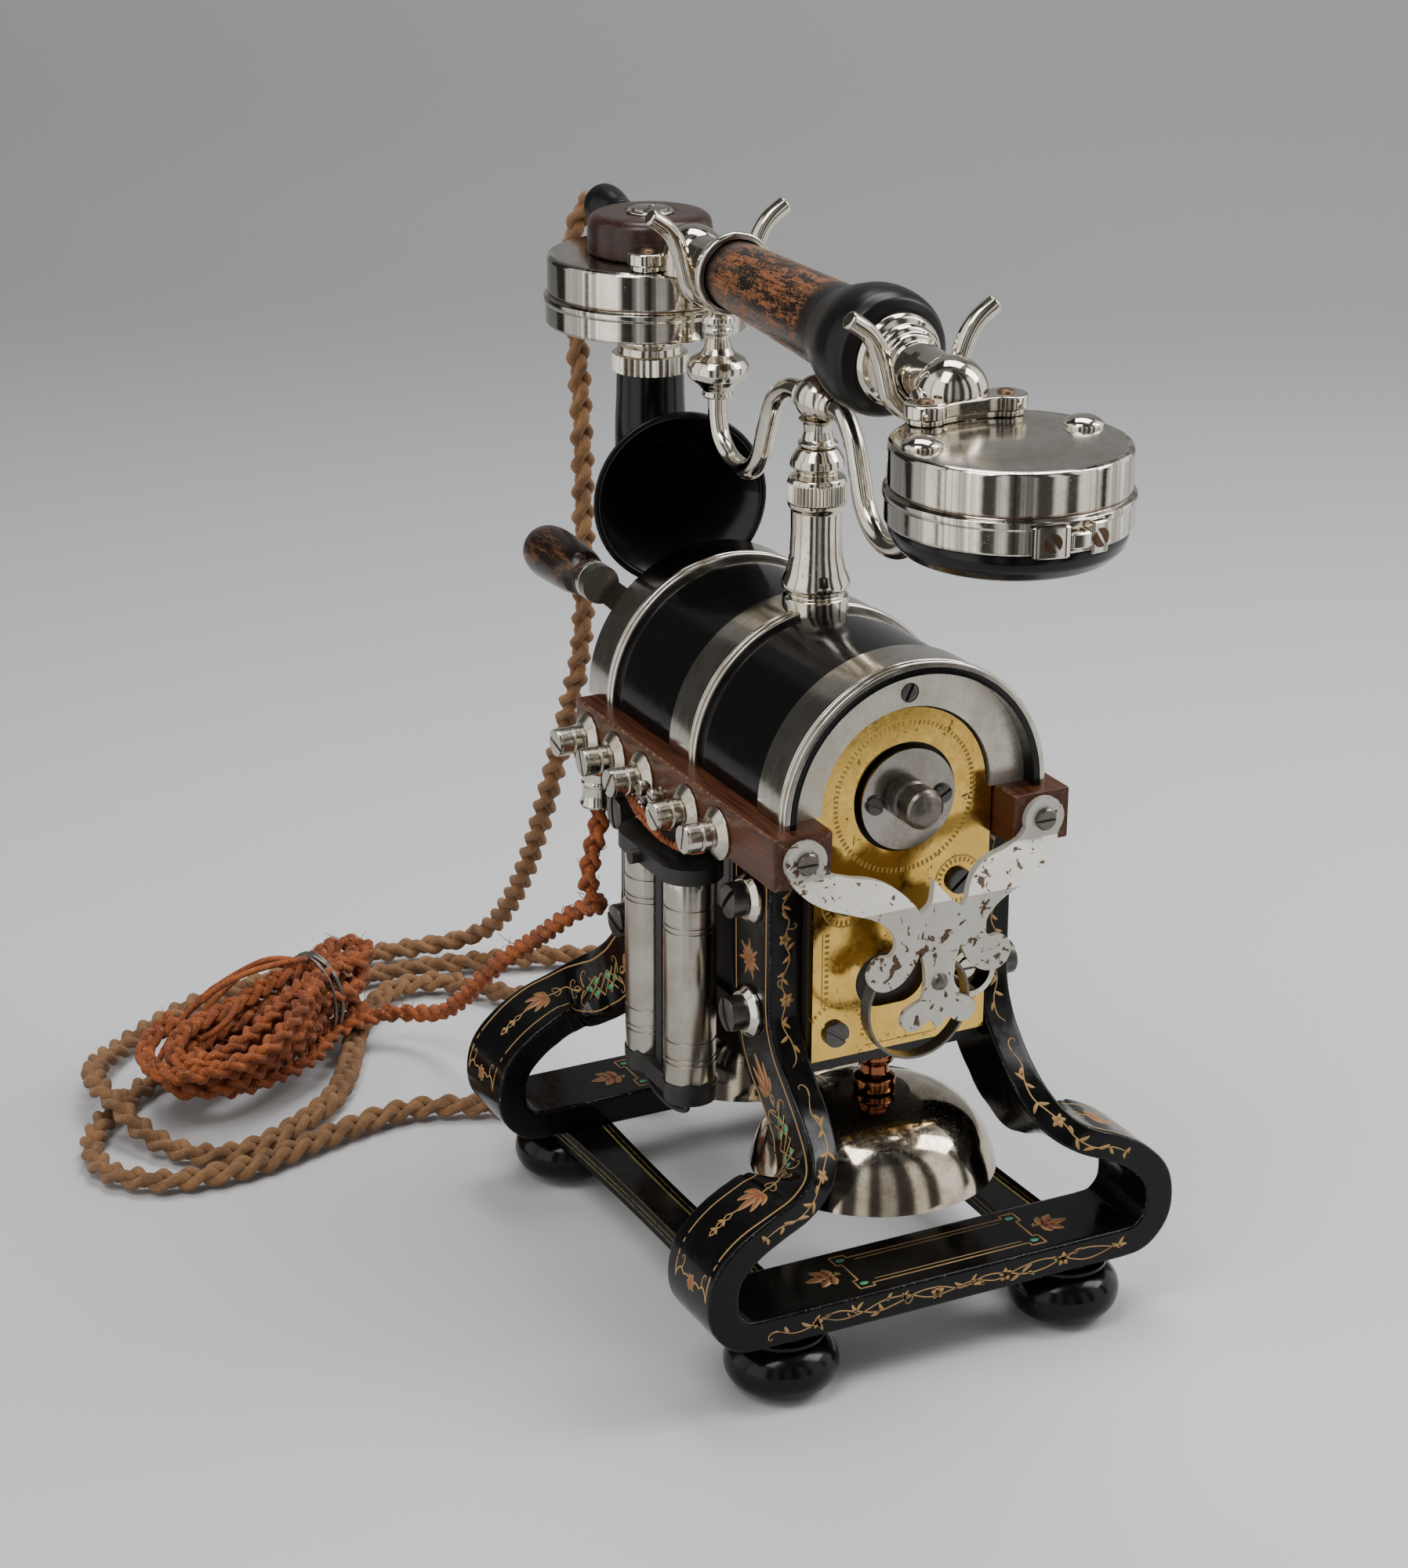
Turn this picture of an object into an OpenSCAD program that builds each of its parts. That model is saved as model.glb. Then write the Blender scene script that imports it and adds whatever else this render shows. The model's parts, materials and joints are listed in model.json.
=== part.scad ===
// Desk telephone of the open-frame kind: a hand generator between two lyre frames,
// a cradle on a post, and a one-piece handset with a horn. Millimetres, +Z up,
// the front (generator plate) towards -Y, the terminals towards -X. The origin lies
// on the table, under the middle of the handset.

/* [Rails and generator] */
// Height of the top of the wooden rails above the table
rail_top = 170; // [160:1:185]
// Height of each wooden rail
rail_h = 16; // [13:0.5:19]
// Width of each wooden rail
rail_w = 18.9; // [15:0.1:23]
// Length of each wooden rail
rail_len = 134.4; // [130:0.2:145]
// Clear half width between the rails, which the generator fills
inner_half = 30.1; // [30:0.1:33]
// Offset of the stand's middle from the handset's middle, along Y
stand_y = -3; // [-6:0.5:6]
// Outer radius of the barrel cover
barrel_r = 41.5; // [41:0.1:44]
// Wall of the barrel cover
barrel_wall = 2; // [1.2:0.1:2.5]
// Length of the barrel cover
barrel_len = 133; // [130:0.5:145]
// Thickness of the three nickel bands
band_t = 1.4; // [0.8:0.1:2.4]
// Width of each nickel band
band_w = 18; // [12:0.5:24]
// Thickness of each brass bearing plate
brass_t = 2.5; // [1.5:0.1:4]
// Thickness of each inner casting
casting_t = 6; // [4:0.5:9]
// Distance of each bearing plate's outer face from the barrel's middle
plate_y = 59.2; // [58.5:0.1:62]
// Height of the generator's underside above the table
generator_z = 91.5; // [88:0.5:96]
// Radius of the crank shaft between the castings
shaft_r = 4.5; // [3.5:0.1:5.5]
// Radius of the shaft's round front end
shaft_nose_r = 6.3; // [5.6:0.1:7.5]
// Length by which the front end stands out of the front casting
shaft_nose_len = 17; // [10:0.5:22]
// Module of the gears
gear_m = 1.25; // [1:0.05:1.25]
// Teeth of the main gear
gear_teeth = 46; // [42:4:46]
// Teeth of the armature pinion
pinion_teeth = 10; // [10:4:14]

/* [Crank] */
// Distance of the crank's handle from the shaft
crank_r = 47.3; // [44:0.1:50]
// Angle of the crank from +X towards +Z, seen from the front
crank_angle = 138.6; // [136:0.2:142]
// Thickness of the crank arm
crank_arm_t = 4; // [3:0.5:5]
// Length of the wooden crank handle
crank_handle_len = 43; // [36:1:46]
// Radius of the wooden crank handle
crank_handle_r = 8.7; // [7:0.1:9.5]

/* [Frames and feet] */
// Height of each bun foot
foot_h = 17.4; // [14:0.2:20]
// Largest radius of each bun foot
foot_r = 17.3; // [14:0.1:19]
// Distance of each foot's middle from the end of the side lobe over it
foot_inset = 30.4; // [27:0.1:34]
// Distance of the feet from the stand's middle, along Y
foot_y = 76.5; // [74:0.5:78]
// Thickness of the straps and of the washers under them
strap_t = 2; // [1:0.1:3]
// Width of a strap at its waist
strap_w = 14; // [10:0.5:18]
// Depth of the frame strip, front to back
strip_d = 24.4; // [20:0.2:28]
// Depth of the strip in the base bar and the side lobes
base_d = 27.6; // [22:0.2:30]
// Thickness of the strip in the legs
leg_t = 10.8; // [8:0.2:12]
// Thickness of the base bar
base_t = 9.8; // [8:0.2:12]
// Half width over the side lobes of a frame
lobe_half = 79.5; // [74:0.5:86]
// Distance of a leg's outer face from the stand's middle, along Y
leg_y = 50.7; // [49:0.1:53]
// Distance of a base bar's outer face from the stand's middle, along Y
base_y = 89.3; // [86:0.1:92]

/* [Bells] */
// Radius of each gong
gong_r = 37.8; // [34:0.1:38.5]
// Height of a gong's rim above the table
gong_rim_z = 47; // [44:0.5:52]
// Height of a gong
gong_h = 24; // [18:0.5:26]
// Wall of a gong
gong_wall = 1.8; // [1:0.1:2.5]
// Distance of each gong's middle from the stand's middle, along Y
gong_y = 42.5; // [42.5:0.1:46]

/* [Coils and terminals] */
// Radius of each induction coil tube
coil_r = 8.1; // [6.5:0.1:9]
// Distance of the coils from the middle, along X
coil_x = 48.2; // [48:0.2:54]
// Half the distance between the two coils
coil_y = 13.4; // [12:0.2:17]
// Radius of a terminal post
terminal_r = 4.2; // [3:0.1:5]
// Length of a terminal post
terminal_len = 11.8; // [10:0.2:16]

/* [Post and cradle] */
// Distance of the post from the handset's middle, along Y
post_y = -3.2; // [-6:0.2:6]
// Radius of the post's tube
post_r = 7.8; // [6.5:0.1:9]
// Height of the post's bore, above the table
post_top = 262; // [258:0.5:264]
// Radius of the cradle's rods
rod_r = 3; // [2.2:0.1:3.4]
// Distance of each pair of horns from the handset's middle
horn_y = 62.3; // [58:0.1:66]
// Radius of the cradle's sliding stem
stem_r = 4; // [3:0.1:4.6]

/* [Handset] */
// Height of the handset's axis at its middle
handset_z = 300.5; // [298:0.5:306]
// Distance of each capsule's middle from the handset's middle
capsule_y = 110.3; // [108:0.1:114]
// Largest radius of a capsule
capsule_r = 34.2; // [31:0.1:36]
// Height of a capsule's metal case
capsule_h = 22.3; // [19:0.1:25]
// Slope of the handset's axis, rising towards the transmitter
handset_tilt = 2.2; // [1:0.1:3]
// Radius of the neck where it rests on the cradle
neck_r = 8; // [6.5:0.1:9]
// Largest radius of the ebonite bulb
bulb_r = 18.8; // [16:0.2:20]
// Radius of the horn's mouth
mouth_r = 28.5; // [24:0.5:29]
// Turn of the horn from the front, towards the terminals
mouth_turn = 10; // [8:1:16]

/* [Cords] */
// Diameter of the handset cord
handset_cord_d = 7; // [5:0.1:7]
// Diameter of the line cord
line_cord_d = 6.6; // [5:0.1:6.8]

/* [Hidden] */
$fn = 64;

// Clearances
seat = 0.05;      // between pieces of one body that sit against each other on a curve
running = 0.05;   // between a shaft and its bore
rest_gap = 0.3;   // between a body and the one that it rests on
leg_gap = 1;      // between the base plate and the legs, which lean in there

// Heights and places that several pieces share
axis_z = rail_top + 1;                     // shaft and barrel axis
strap_z = foot_h + strap_t / 2;            // underside of the straps, on their washers
base_z = strap_z + strap_t;                // underside of the base bars
rail_z = rail_top - rail_h;                // underside of the rails
rail_x = inner_half + rail_w / 2;          // middle of a rail
foot_x = lobe_half - foot_inset;           // middle of a foot
band_r = barrel_r + band_t + seat;
casting_y = plate_y - brass_t;             // outer face of a casting
casting_in = casting_y - casting_t;        // inner face of a casting
gear_r = gear_m * gear_teeth / 2;
pinion_r = gear_m * pinion_teeth / 2;
armature_z = axis_z - gear_r - pinion_r;
gear_w = 6;
gear_y = casting_in - 1.5 - gear_w;        // front face of the main gear
magnet_end = gear_y - 4;                   // rear end of the magnets
crank_y = barrel_len / 2 + 6;              // front face of the crank arm
crank_x = crank_r * cos(crank_angle);
crank_z = axis_z + crank_r * sin(crank_angle);
receiver_z = handset_z - capsule_y * sin(handset_tilt) - 27.8;
transmitter_z = receiver_z + 7;
post_foot_z = axis_z + band_r;

// --- Curves -------------------------------------------------------------------

function unit(v) = v / norm(v);
function mix(a, b, t) = a + (b - a) * t;
function flip_x(p) = [-p[0], p[1], p[2], p[3]];
function reversed(list) = [for (i = [len(list) - 1:-1:0]) list[i]];

// A point on the smooth curve through p1 and p2
function on_curve(p0, p1, p2, p3, t) =
  0.5 * ((2 * p1) + (p2 - p0) * t + (2 * p0 - 5 * p1 + 4 * p2 - p3) * t * t
  + (3 * p1 - p0 - 3 * p2 + p3) * t * t * t);

// A smooth curve through the points, with n steps from each point to the next
function smooth(points, n) = let (last = len(points) - 1) concat(
  [for (i = [0:last - 1], k = [0:n - 1])
    on_curve(points[max(i - 1, 0)], points[i], points[i + 1], points[min(i + 2, last)], k / n)],
  [points[last]]);

function tangent(path, i) = unit(path[min(i + 1, len(path) - 1)] - path[max(i - 1, 0)]);

// Side vectors along a path, carried from ring to ring without twist
function side_vectors(path, first) = [
  for (i = 0, t = tangent(path, 0), s = unit(first - (first * t) * t); i < len(path);
    i = i + 1, t = i < len(path) ? tangent(path, i) : t, s = unit(s - (s * t) * t)) s];

// Triangles over a grid of rings, closed by a fan at each end
module skin(rings) {
  sides = len(rings[0]);
  last = len(rings) - 1;
  points = [for (r = rings, p = r) p];
  faces = concat(
    [for (i = [0:last - 1], j = [0:sides - 1]) let (a = i * sides, k = (j + 1) % sides)
      [a + k, a + j, a + sides + j]],
    [for (i = [0:last - 1], j = [0:sides - 1]) let (a = i * sides, k = (j + 1) % sides)
      [a + sides + k, a + k, a + sides + j]],
    [for (j = [1:sides - 2]) [0, j, j + 1]],
    [for (j = [1:sides - 2]) [last * sides, last * sides + j + 1, last * sides + j]]);
  polyhedron(points, faces);
}

// A round bar along a path, with one radius for each point of the path
module swept(path, radii, sides, first) {
  s = side_vectors(path, first);
  skin([for (i = [0:len(path) - 1]) let (t = tangent(path, i), b = cross(t, s[i]))
    [for (j = [0:sides - 1]) path[i]
      + radii[i] * (cos(360 * j / sides) * s[i] + sin(360 * j / sides) * b)]]);
}

module rod(path, r, sides = 12, first = [0, 0, 1])
  swept(path, [for (p = path) r], sides, first);

// A cylinder along Y, from y0 to y1
module bar_y(r, y0, y1) translate([0, y0, 0]) rotate([-90, 0, 0]) cylinder(r = r, h = y1 - y0);

// An outline in X and Z, extruded from y0 to y1
module plate_y(y0, y1) translate([0, y1, 0]) rotate([90, 0, 0]) linear_extrude(y1 - y0) children();

// A turned shape about Z from [radius, height] points
module turned(profile) rotate_extrude() polygon(profile);

// --- Feet and straps ----------------------------------------------------------

module foot(sx, sy) {
  flat = foot_r * 0.55;
  neck = foot_r * 0.5;
  bulge = foot_h * 0.6;
  translate([sx * foot_x, stand_y + sy * foot_y, 0]) turned(concat(
    [[0, 0], [flat, 0]],
    [for (a = [-75:15:75]) [flat + (foot_r - flat) * cos(a), bulge * (1 + sin(a)) / 1.05 * 0.8 + 0.4]],
    [[neck, foot_h - 0.6], [neck, foot_h], [neck * 1.5, foot_h], [neck * 1.5, strap_z], [0, strap_z]]));
}

module foot_front_left() color("black") foot(-1, -1);
module foot_front_right() color("black") foot(1, -1);
module foot_rear_left() color("black") foot(-1, 1);
module foot_rear_right() color("black") foot(1, 1);

module strap(side) {
  end_w = strap_w + 5;
  reach = foot_y + end_w / 2;
  outline = [for (i = [-12:12]) let (v = i / 12)
    [strap_w / 2 + (end_w - strap_w) / 2 * v * v - (abs(i) == 12 ? 4 : 0), reach * v]];
  translate([side * foot_x, stand_y, strap_z]) linear_extrude(strap_t)
    polygon(concat(outline, reversed([for (p = outline) [-p[0], p[1]]])));
}

module strap_left() color("black") strap(-1);
module strap_right() color("black") strap(1);

// --- Lyre frames --------------------------------------------------------------

// Middle of the strip's outer face from the top of the left leg to the base bar's middle:
// x, distance from the stand's middle, z, thickness
leg_x = inner_half + leg_t / 2;
base_mid = base_z + base_t / 2;
lobe_x = lobe_half - base_t / 2;
kick_top = 104;
half_frame = concat(
  [[-leg_x, leg_y, rail_z, leg_t]],
  smooth([
    [-leg_x, leg_y + 0.2, kick_top + 12, leg_t],
    [-leg_x, leg_y + 0.8, kick_top, leg_t],
    [-leg_x + 0.1, mix(leg_y, base_y, 0.12), kick_top - 8.5, leg_t - 0.4],
    [-leg_x + 0.3, mix(leg_y, base_y, 0.3), kick_top - 16, leg_t - 0.8],
    [-leg_x + 0.1, mix(leg_y, base_y, 0.52), kick_top - 23.5, leg_t - 1],
    [-leg_x - 1.4, mix(leg_y, base_y, 0.74), kick_top - 30.5, leg_t - 1.3],
    [-mix(leg_x, lobe_x, 0.14), mix(leg_y, base_y, 0.89), kick_top - 36.5, base_t - 0.8],
    [-mix(leg_x, lobe_x, 0.33), mix(leg_y, base_y, 0.97), kick_top - 41.5, base_t - 1],
    [-mix(leg_x, lobe_x, 0.56), base_y, mix(base_mid, kick_top, 0.425), base_t - 1],
    [-mix(leg_x, lobe_x, 0.78), base_y, mix(base_mid, kick_top, 0.36), base_t - 0.8],
    [-mix(leg_x, lobe_x, 0.95), base_y, mix(base_mid, kick_top, 0.27), base_t - 0.4],
    [-lobe_x, base_y, mix(base_mid, kick_top, 0.17), base_t],
    [-mix(leg_x, lobe_x, 0.97), base_y, mix(base_mid, kick_top, 0.08), base_t],
    [-mix(leg_x, lobe_x, 0.84), base_y, base_mid + 1, base_t],
    [-mix(leg_x, lobe_x, 0.66), base_y, base_mid, base_t]], 3));

// A closed ring of the strip's section: the outer face first, its corners cut by c
function strip_ring(path, i) =
  let (p = path[i], here = [p[0], p[1], p[2]],
    a = path[max(i - 1, 0)], b = path[min(i + 1, len(path) - 1)],
    t = unit([b[0] - a[0], b[1] - a[1], b[2] - a[2]]),
    n = unit([-t[2], 0, t[0]]), d = unit(cross(t, n)), w = p[3] / 2, c = 0.8,
    u = (p[1] - leg_y) / (base_y - leg_y),
    deep = mix(strip_d, base_d, pow(max(u, 0), 4)) - 4 * abs(t[1]))
  [for (q = [[w - c, 0], [w, c], [w, deep - c], [w - c, deep],
             [c - w, deep], [-w, deep - c], [-w, c], [c - w, 0]])
    here + n * q[0] + d * (d[1] > 0 ? -q[1] : q[1])];

module frame() {
  path = concat(half_frame, reversed([for (p = half_frame) flip_x(p)]));
  rings = [for (i = [0:len(path) - 1]) strip_ring(path, i)];
  difference() {
    skin(rings);
    translate([-leg_x * 2, 0, rail_z]) cube([leg_x * 4, base_y, 10]);
  }
}

module frame_front() color("black") translate([0, stand_y, 0]) mirror([0, 1, 0]) frame();
module frame_rear() color("black") translate([0, stand_y, 0]) frame();

leg_screw_z = [104, 140.5];
leg_screw_y = leg_y - strip_d / 2 + 0.3;
module leg_screws() color("dimgray")
  for (sx = [-1, 1], sy = [-1, 1], z = leg_screw_z)
    translate([sx * (inner_half + leg_t + seat), stand_y + sy * leg_screw_y, z]) rotate([0, sx * 90, 0])
      difference() {
        turned([[0, 0], [8, 0], [8, 1.2], [6.2, 3], [5.4, 3], [5.4, 6.6], [4.6, 7.8], [0, 8.4]]);
        translate([-9, -0.6, 7]) cube([18, 1.2, 3]);
      }

// --- Rails, barrel and end rings ----------------------------------------------

module rail(side) translate([side * rail_x - rail_w / 2, stand_y - 1 - rail_len / 2, rail_z])
  cube([rail_w, rail_len, rail_h]);

module rail_left() color("sienna") rail(-1);
module rail_right() color("sienna") rail(1);

// The upper part of a ring about the barrel's axis, cut level with the rails
module arch(r_out, r_in, y0, y1) plate_y(y0, y1) difference() {
  translate([0, axis_z]) circle(r = r_out, $fn = 128);
  translate([0, axis_z]) circle(r = r_in, $fn = 128);
  translate([-60, rail_top - 120]) square([120, 120]);
}

module barrel_cover() color("black")
  arch(barrel_r, barrel_r - barrel_wall, -barrel_len / 2, barrel_len / 2);

// A flat band with two beads along its front edge
module band(y0) {
  bead = 1.6;
  low = band_r - 0.5;
  arch(low, barrel_r + seat, y0, y0 + band_w);
  arch(band_r, low - 0.3, y0 + 2 * bead, y0 + band_w);
  arch(band_r + 0.5, low - 0.3, y0, y0 + bead);
  arch(band_r + 0.5, low - 0.3, y0 + 1.4 * bead, y0 + 2.4 * bead);
}

module band_front() color("silver") band(-barrel_len / 2);
module band_middle() color("silver") band(-band_w / 2);
module band_rear() color("silver") band(barrel_len / 2 - band_w);

ring_t = 4;
ring_screw_z = axis_z + (barrel_r + 25) / 2 - 0.8;
module end_ring(side) difference() {
  arch(barrel_r - barrel_wall - seat, barrel_r - 13.4,
    side > 0 ? casting_y : -casting_y - ring_t, side > 0 ? casting_y + ring_t : -casting_y);
  translate([0, side * (casting_y + ring_t), ring_screw_z]) rotate([-side * 90, 0, 0])
    translate([0, 0, -1.5]) cylinder(r = 3, h = 3);
}

module end_ring_front() color("silver") end_ring(-1);
module end_ring_rear() color("silver") end_ring(1);

// --- Generator ----------------------------------------------------------------

disc_r = 15.5;
disc_t = brass_t + 2.4;
slot_r = 8.5;
slot_z = 114;
bush_x = 17;
bush_z = 117;
bush_r = 8;

module casting_outline() {
  translate([-inner_half, generator_z]) square([2 * inner_half, rail_top - generator_z]);
  intersection() {
    translate([0, axis_z]) circle(r = barrel_r - barrel_wall - seat, $fn = 128);
    translate([-60, rail_top]) square([120, 80]);
  }
}

module casting(side, bore) difference() {
  plate_y(side > 0 ? casting_in : -casting_y, side > 0 ? casting_y : -casting_in) casting_outline();
  translate([0, 0, axis_z]) bar_y(bore, side > 0 ? casting_in - 1 : -casting_y - 1,
    side > 0 ? casting_y + 1 : -casting_in + 1);
  translate([0, 0, armature_z]) bar_y(3 + running, side > 0 ? casting_in - 1 : -casting_in - 4,
    side > 0 ? casting_in + 4 : 1 - casting_in);
}

module casting_front() color("dimgray") casting(-1, shaft_nose_r + running);
module casting_rear() color("dimgray") casting(1, shaft_r + running);

// A brass plate with an arched head, an opening for the bearing disc and a slot below it
module bearing_plate(side) {
  w = inner_half - 0.7;
  plate_y(side > 0 ? casting_y : -plate_y, side > 0 ? plate_y : -casting_y) difference() {
    union() {
      translate([-w, generator_z]) square([2 * w, rail_top - generator_z]);
      intersection() {
        translate([0, axis_z]) circle(r = barrel_r - 14.2, $fn = 128);
        translate([-60, rail_top]) square([120, 80]);
      }
    }
    translate([0, axis_z]) circle(r = disc_r + 1.3);
    for (x = [-6.5, 0]) translate([x, slot_z]) circle(r = slot_r);
    translate([-6.5, slot_z - slot_r]) square([6.5, 2 * slot_r]);
  }
}

module bearing_plate_front() color("goldenrod") bearing_plate(-1);
module bearing_plate_rear() color("goldenrod") bearing_plate(1);

module bearing_disc(side, bore) difference() {
  translate([0, 0, axis_z]) bar_y(disc_r, side > 0 ? casting_y : -casting_y - disc_t,
    side > 0 ? casting_y + disc_t : -casting_y);
  translate([0, 0, axis_z]) bar_y(bore, -90, 90);
}

module bearing_disc_front() color("silver") bearing_disc(-1, shaft_nose_r + running);
module bearing_disc_rear() color("silver") bearing_disc(1, shaft_r + running);

// A slotted cheese-head screw that points to -Y or +Y
module face_screw(r, h) difference() {
  turned([[0, 0], [r, 0], [r, h * 0.7], [r * 0.86, h], [0, h]]);
  translate([-r - 1, -0.5, h - 0.8]) cube([2 * r + 2, 1, 2]);
}

module plate_screws() color("dimgray") for (side = [-1, 1]) {
  for (sx = [-1, 1], p = [[19, 141.3], [21.6, 99.6]])
    translate([sx * p[0], side * plate_y, p[1]]) rotate([-side * 90, 0, 0]) face_screw(4, 1.8);
  for (sx = [-1, 1]) translate([sx * 11.2, side * (casting_y + disc_t), axis_z])
    rotate([-side * 90, sx * 30, 0]) face_screw(2.9, 1.2);
  translate([0, side * (casting_y + ring_t - 1.5 + seat), ring_screw_z])
    rotate([-side * 90, 0, 0]) face_screw(2.8, 1.4);
}

module ringer_bush() color("silver") translate([bush_x, -plate_y, bush_z]) rotate([90, 0, 0]) {
  difference() {
    cylinder(r = bush_r, h = 13);
    translate([0, 0, 2]) cylinder(r = bush_r - 1.8, h = 13);
  }
  translate([0, 0, 1]) face_screw(3.5, 9);
}

// Horseshoe magnets over the armature, with the poles between their legs
magnet_out = inner_half - 0.6;
magnet_in = 17.5;
pole_z = armature_z - 17;
pole_top = armature_z + 13;
module magnet(i) {
  pitch = (magnet_end + casting_in) / 4;
  y0 = -casting_in + i * pitch;
  plate_y(y0 + 0.3, y0 + pitch - 0.3) difference() {
    union() {
      translate([0, axis_z]) circle(r = magnet_out, $fn = 96);
      translate([-magnet_out, pole_z]) square([2 * magnet_out, axis_z - pole_z]);
    }
    translate([0, axis_z]) circle(r = magnet_in, $fn = 96);
    translate([-magnet_in, pole_z - 1]) square([2 * magnet_in, axis_z - pole_z + 1]);
  }
}

module magnets() color("darkslategray") for (i = [0:3]) magnet(i);

armature_r = 13.6;
module pole(side) difference() {
  x0 = 3.5;
  w = magnet_in - seat - x0;
  translate([side > 0 ? x0 : -x0 - w, -casting_in, pole_z]) cube([w, magnet_end + casting_in, pole_top - pole_z]);
  translate([0, 0, armature_z]) bar_y(armature_r + 0.6, -90, 90);
}

module pole_left() color("gray") pole(-1);
module pole_right() color("gray") pole(1);

clapper_pin_r = 1.8;
clapper_z = generator_z - 4.5 - 4;
module base_plate() color("black") {
  w = inner_half - leg_gap;
  translate([-w, -casting_y, generator_z - 4.5]) cube([2 * w, 2 * casting_y, 4.5]);
  difference() {
    for (sx = [-1, 1]) translate([sx * 5 - 1.5, stand_y - 3.4, clapper_z - 3.4])
      cube([3, 6.8, generator_z - 4 - clapper_z + 3.4]);
    translate([-9, stand_y, clapper_z]) rotate([0, 90, 0]) cylinder(r = clapper_pin_r + running, h = 18);
  }
  for (sx = [-1, 1]) translate([sx * (magnet_in + magnet_out) / 2 - 3, -casting_in + 2, generator_z])
    cube([6, magnet_end + casting_in - 4, pole_z - generator_z]);
}

// --- Gears and armature -------------------------------------------------------

// Half the angle of a tooth at a radius, for an involute of 25 degrees
function involute(a) = tan(a) * 180 / PI - a;
function half_tooth(teeth, r) = let (pitch = gear_m * teeth / 2, base = pitch * cos(25))
  90 / teeth * 0.86 + involute(25) - involute(acos(min(1, base / r)));

module gear_outline(teeth, phase) {
  pitch = gear_m * teeth / 2;
  radii = [pitch - 1.2 * gear_m, pitch, pitch + 0.8 * gear_m];
  polygon([for (k = [0:teeth - 1]) let (mid = phase + 360 * k / teeth)
    each concat(
      [for (r = radii) let (a = mid - half_tooth(teeth, r)) r * [cos(a), sin(a)]],
      [for (r = reversed(radii)) let (a = mid + half_tooth(teeth, r)) r * [cos(a), sin(a)]])]);
}

// The armature: an iron core cut for its winding, the winding, a shaft and the pinion
module armature() color("gray") {
  y0 = -casting_in + 1;
  y1 = magnet_end - 1;
  translate([0, 0, armature_z]) {
    bar_y(3, -casting_in - 3, casting_in + 3);
    difference() {
      bar_y(armature_r, y0, y1);
      for (s = [-1, 1]) translate([s * (armature_r + 3.5) - 7, y0 - 1, -4]) cube([14, y1 - y0 + 2, 8]);
    }
    for (s = [-1, 1]) translate([s * 6.6 - 2.6, y0 + 0.5, -3.9]) cube([5.2, y1 - y0 - 1, 7.8]);
  }
  plate_y(gear_y - 0.5, gear_y + gear_w + 0.5) translate([0, armature_z])
    gear_outline(pinion_teeth, 180 / pinion_teeth);
}

// --- Crank --------------------------------------------------------------------

nose_dome = 3.4;
module crank_shaft() color("silver") {
  nose = -casting_y - shaft_nose_len;
  translate([0, 0, axis_z]) {
    r = shaft_nose_r;
    translate([0, nose, 0]) rotate([-90, 0, 0]) turned(concat(
      [for (a = [90:-15:15]) [r * cos(a), nose_dome * (1 - sin(a))]],
      [[r, nose_dome], [r, 7.6], [r - 0.8, 8.2], [r - 0.8, 9.4], [r, 10], [r, -casting_in - 0.5 - nose],
       [0, -casting_in - 0.5 - nose]]));
    bar_y(shaft_r, -casting_in - 1, crank_y + crank_arm_t);
    bar_y(8, gear_y - 2, gear_y + gear_w / 2);
  }
  plate_y(gear_y, gear_y + gear_w) difference() {
    translate([0, axis_z]) gear_outline(gear_teeth, 0);
    for (a = [30:60:330]) translate([18 * cos(a), axis_z + 18 * sin(a)]) circle(r = 5.5);
  }
}

pin_r = 2.6;
module crank_arm() color("dimgray") {
  difference() {
    union() {
      plate_y(crank_y, crank_y + crank_arm_t) {
        translate([0, axis_z]) circle(r = 9);
        translate([crank_x, crank_z]) circle(r = 6.2);
        translate([0, axis_z]) rotate(crank_angle) polygon([[0, -5.5], [crank_r, -4], [crank_r, 4], [0, 5.5]]);
      }
      translate([0, 0, axis_z]) bar_y(9, crank_y - 3, crank_y + 0.1);
    }
    translate([0, 0, axis_z]) bar_y(shaft_r + seat, crank_y - 9, crank_y + 20);
  }
  translate([0, crank_y + crank_arm_t, axis_z]) rotate([-90, 0, 0]) {
    cylinder(r = 7, h = 1.4);
    translate([0, 0, 1.4]) cylinder(r = 6, h = 4, $fn = 6);
  }
  translate([crank_x, 0, crank_z]) bar_y(pin_r, crank_y + crank_arm_t - 0.5,
    crank_y + crank_arm_t + crank_handle_len - 6);
}

// The wooden handle, with its ferrule, turns on the arm's pin
module crank_handle() color("saddlebrown") {
  r = crank_handle_r;
  l = crank_handle_len;
  translate([crank_x, crank_y + crank_arm_t + rest_gap, crank_z]) rotate([-90, 0, 0]) difference() {
    turned(concat(
      [[pin_r + 0.1, 0], [6.2, 0], [6.2, 2.2], [r * 0.66, 2.2], [r * 0.66, 3.2], [6.3, 3.2], [6.3, 4.4],
       [r * 0.8, 5.5], [r * 0.93, 7.5]],
      [for (a = [0:15:75]) [r * cos(a) * 0.5 + r * 0.5, l - r * 0.8 + r * 0.8 * sin(a)]],
      [[r * 0.5, l], [pin_r + 0.1, l]]));
  }
  translate([crank_x, crank_y + crank_arm_t + l - 4, crank_z]) rotate([-90, 0, 0])
    cylinder(r = pin_r + 0.2, h = 4 + rest_gap);
}

// --- Bells --------------------------------------------------------------------

gong_top = gong_rim_z + gong_h;
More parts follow.
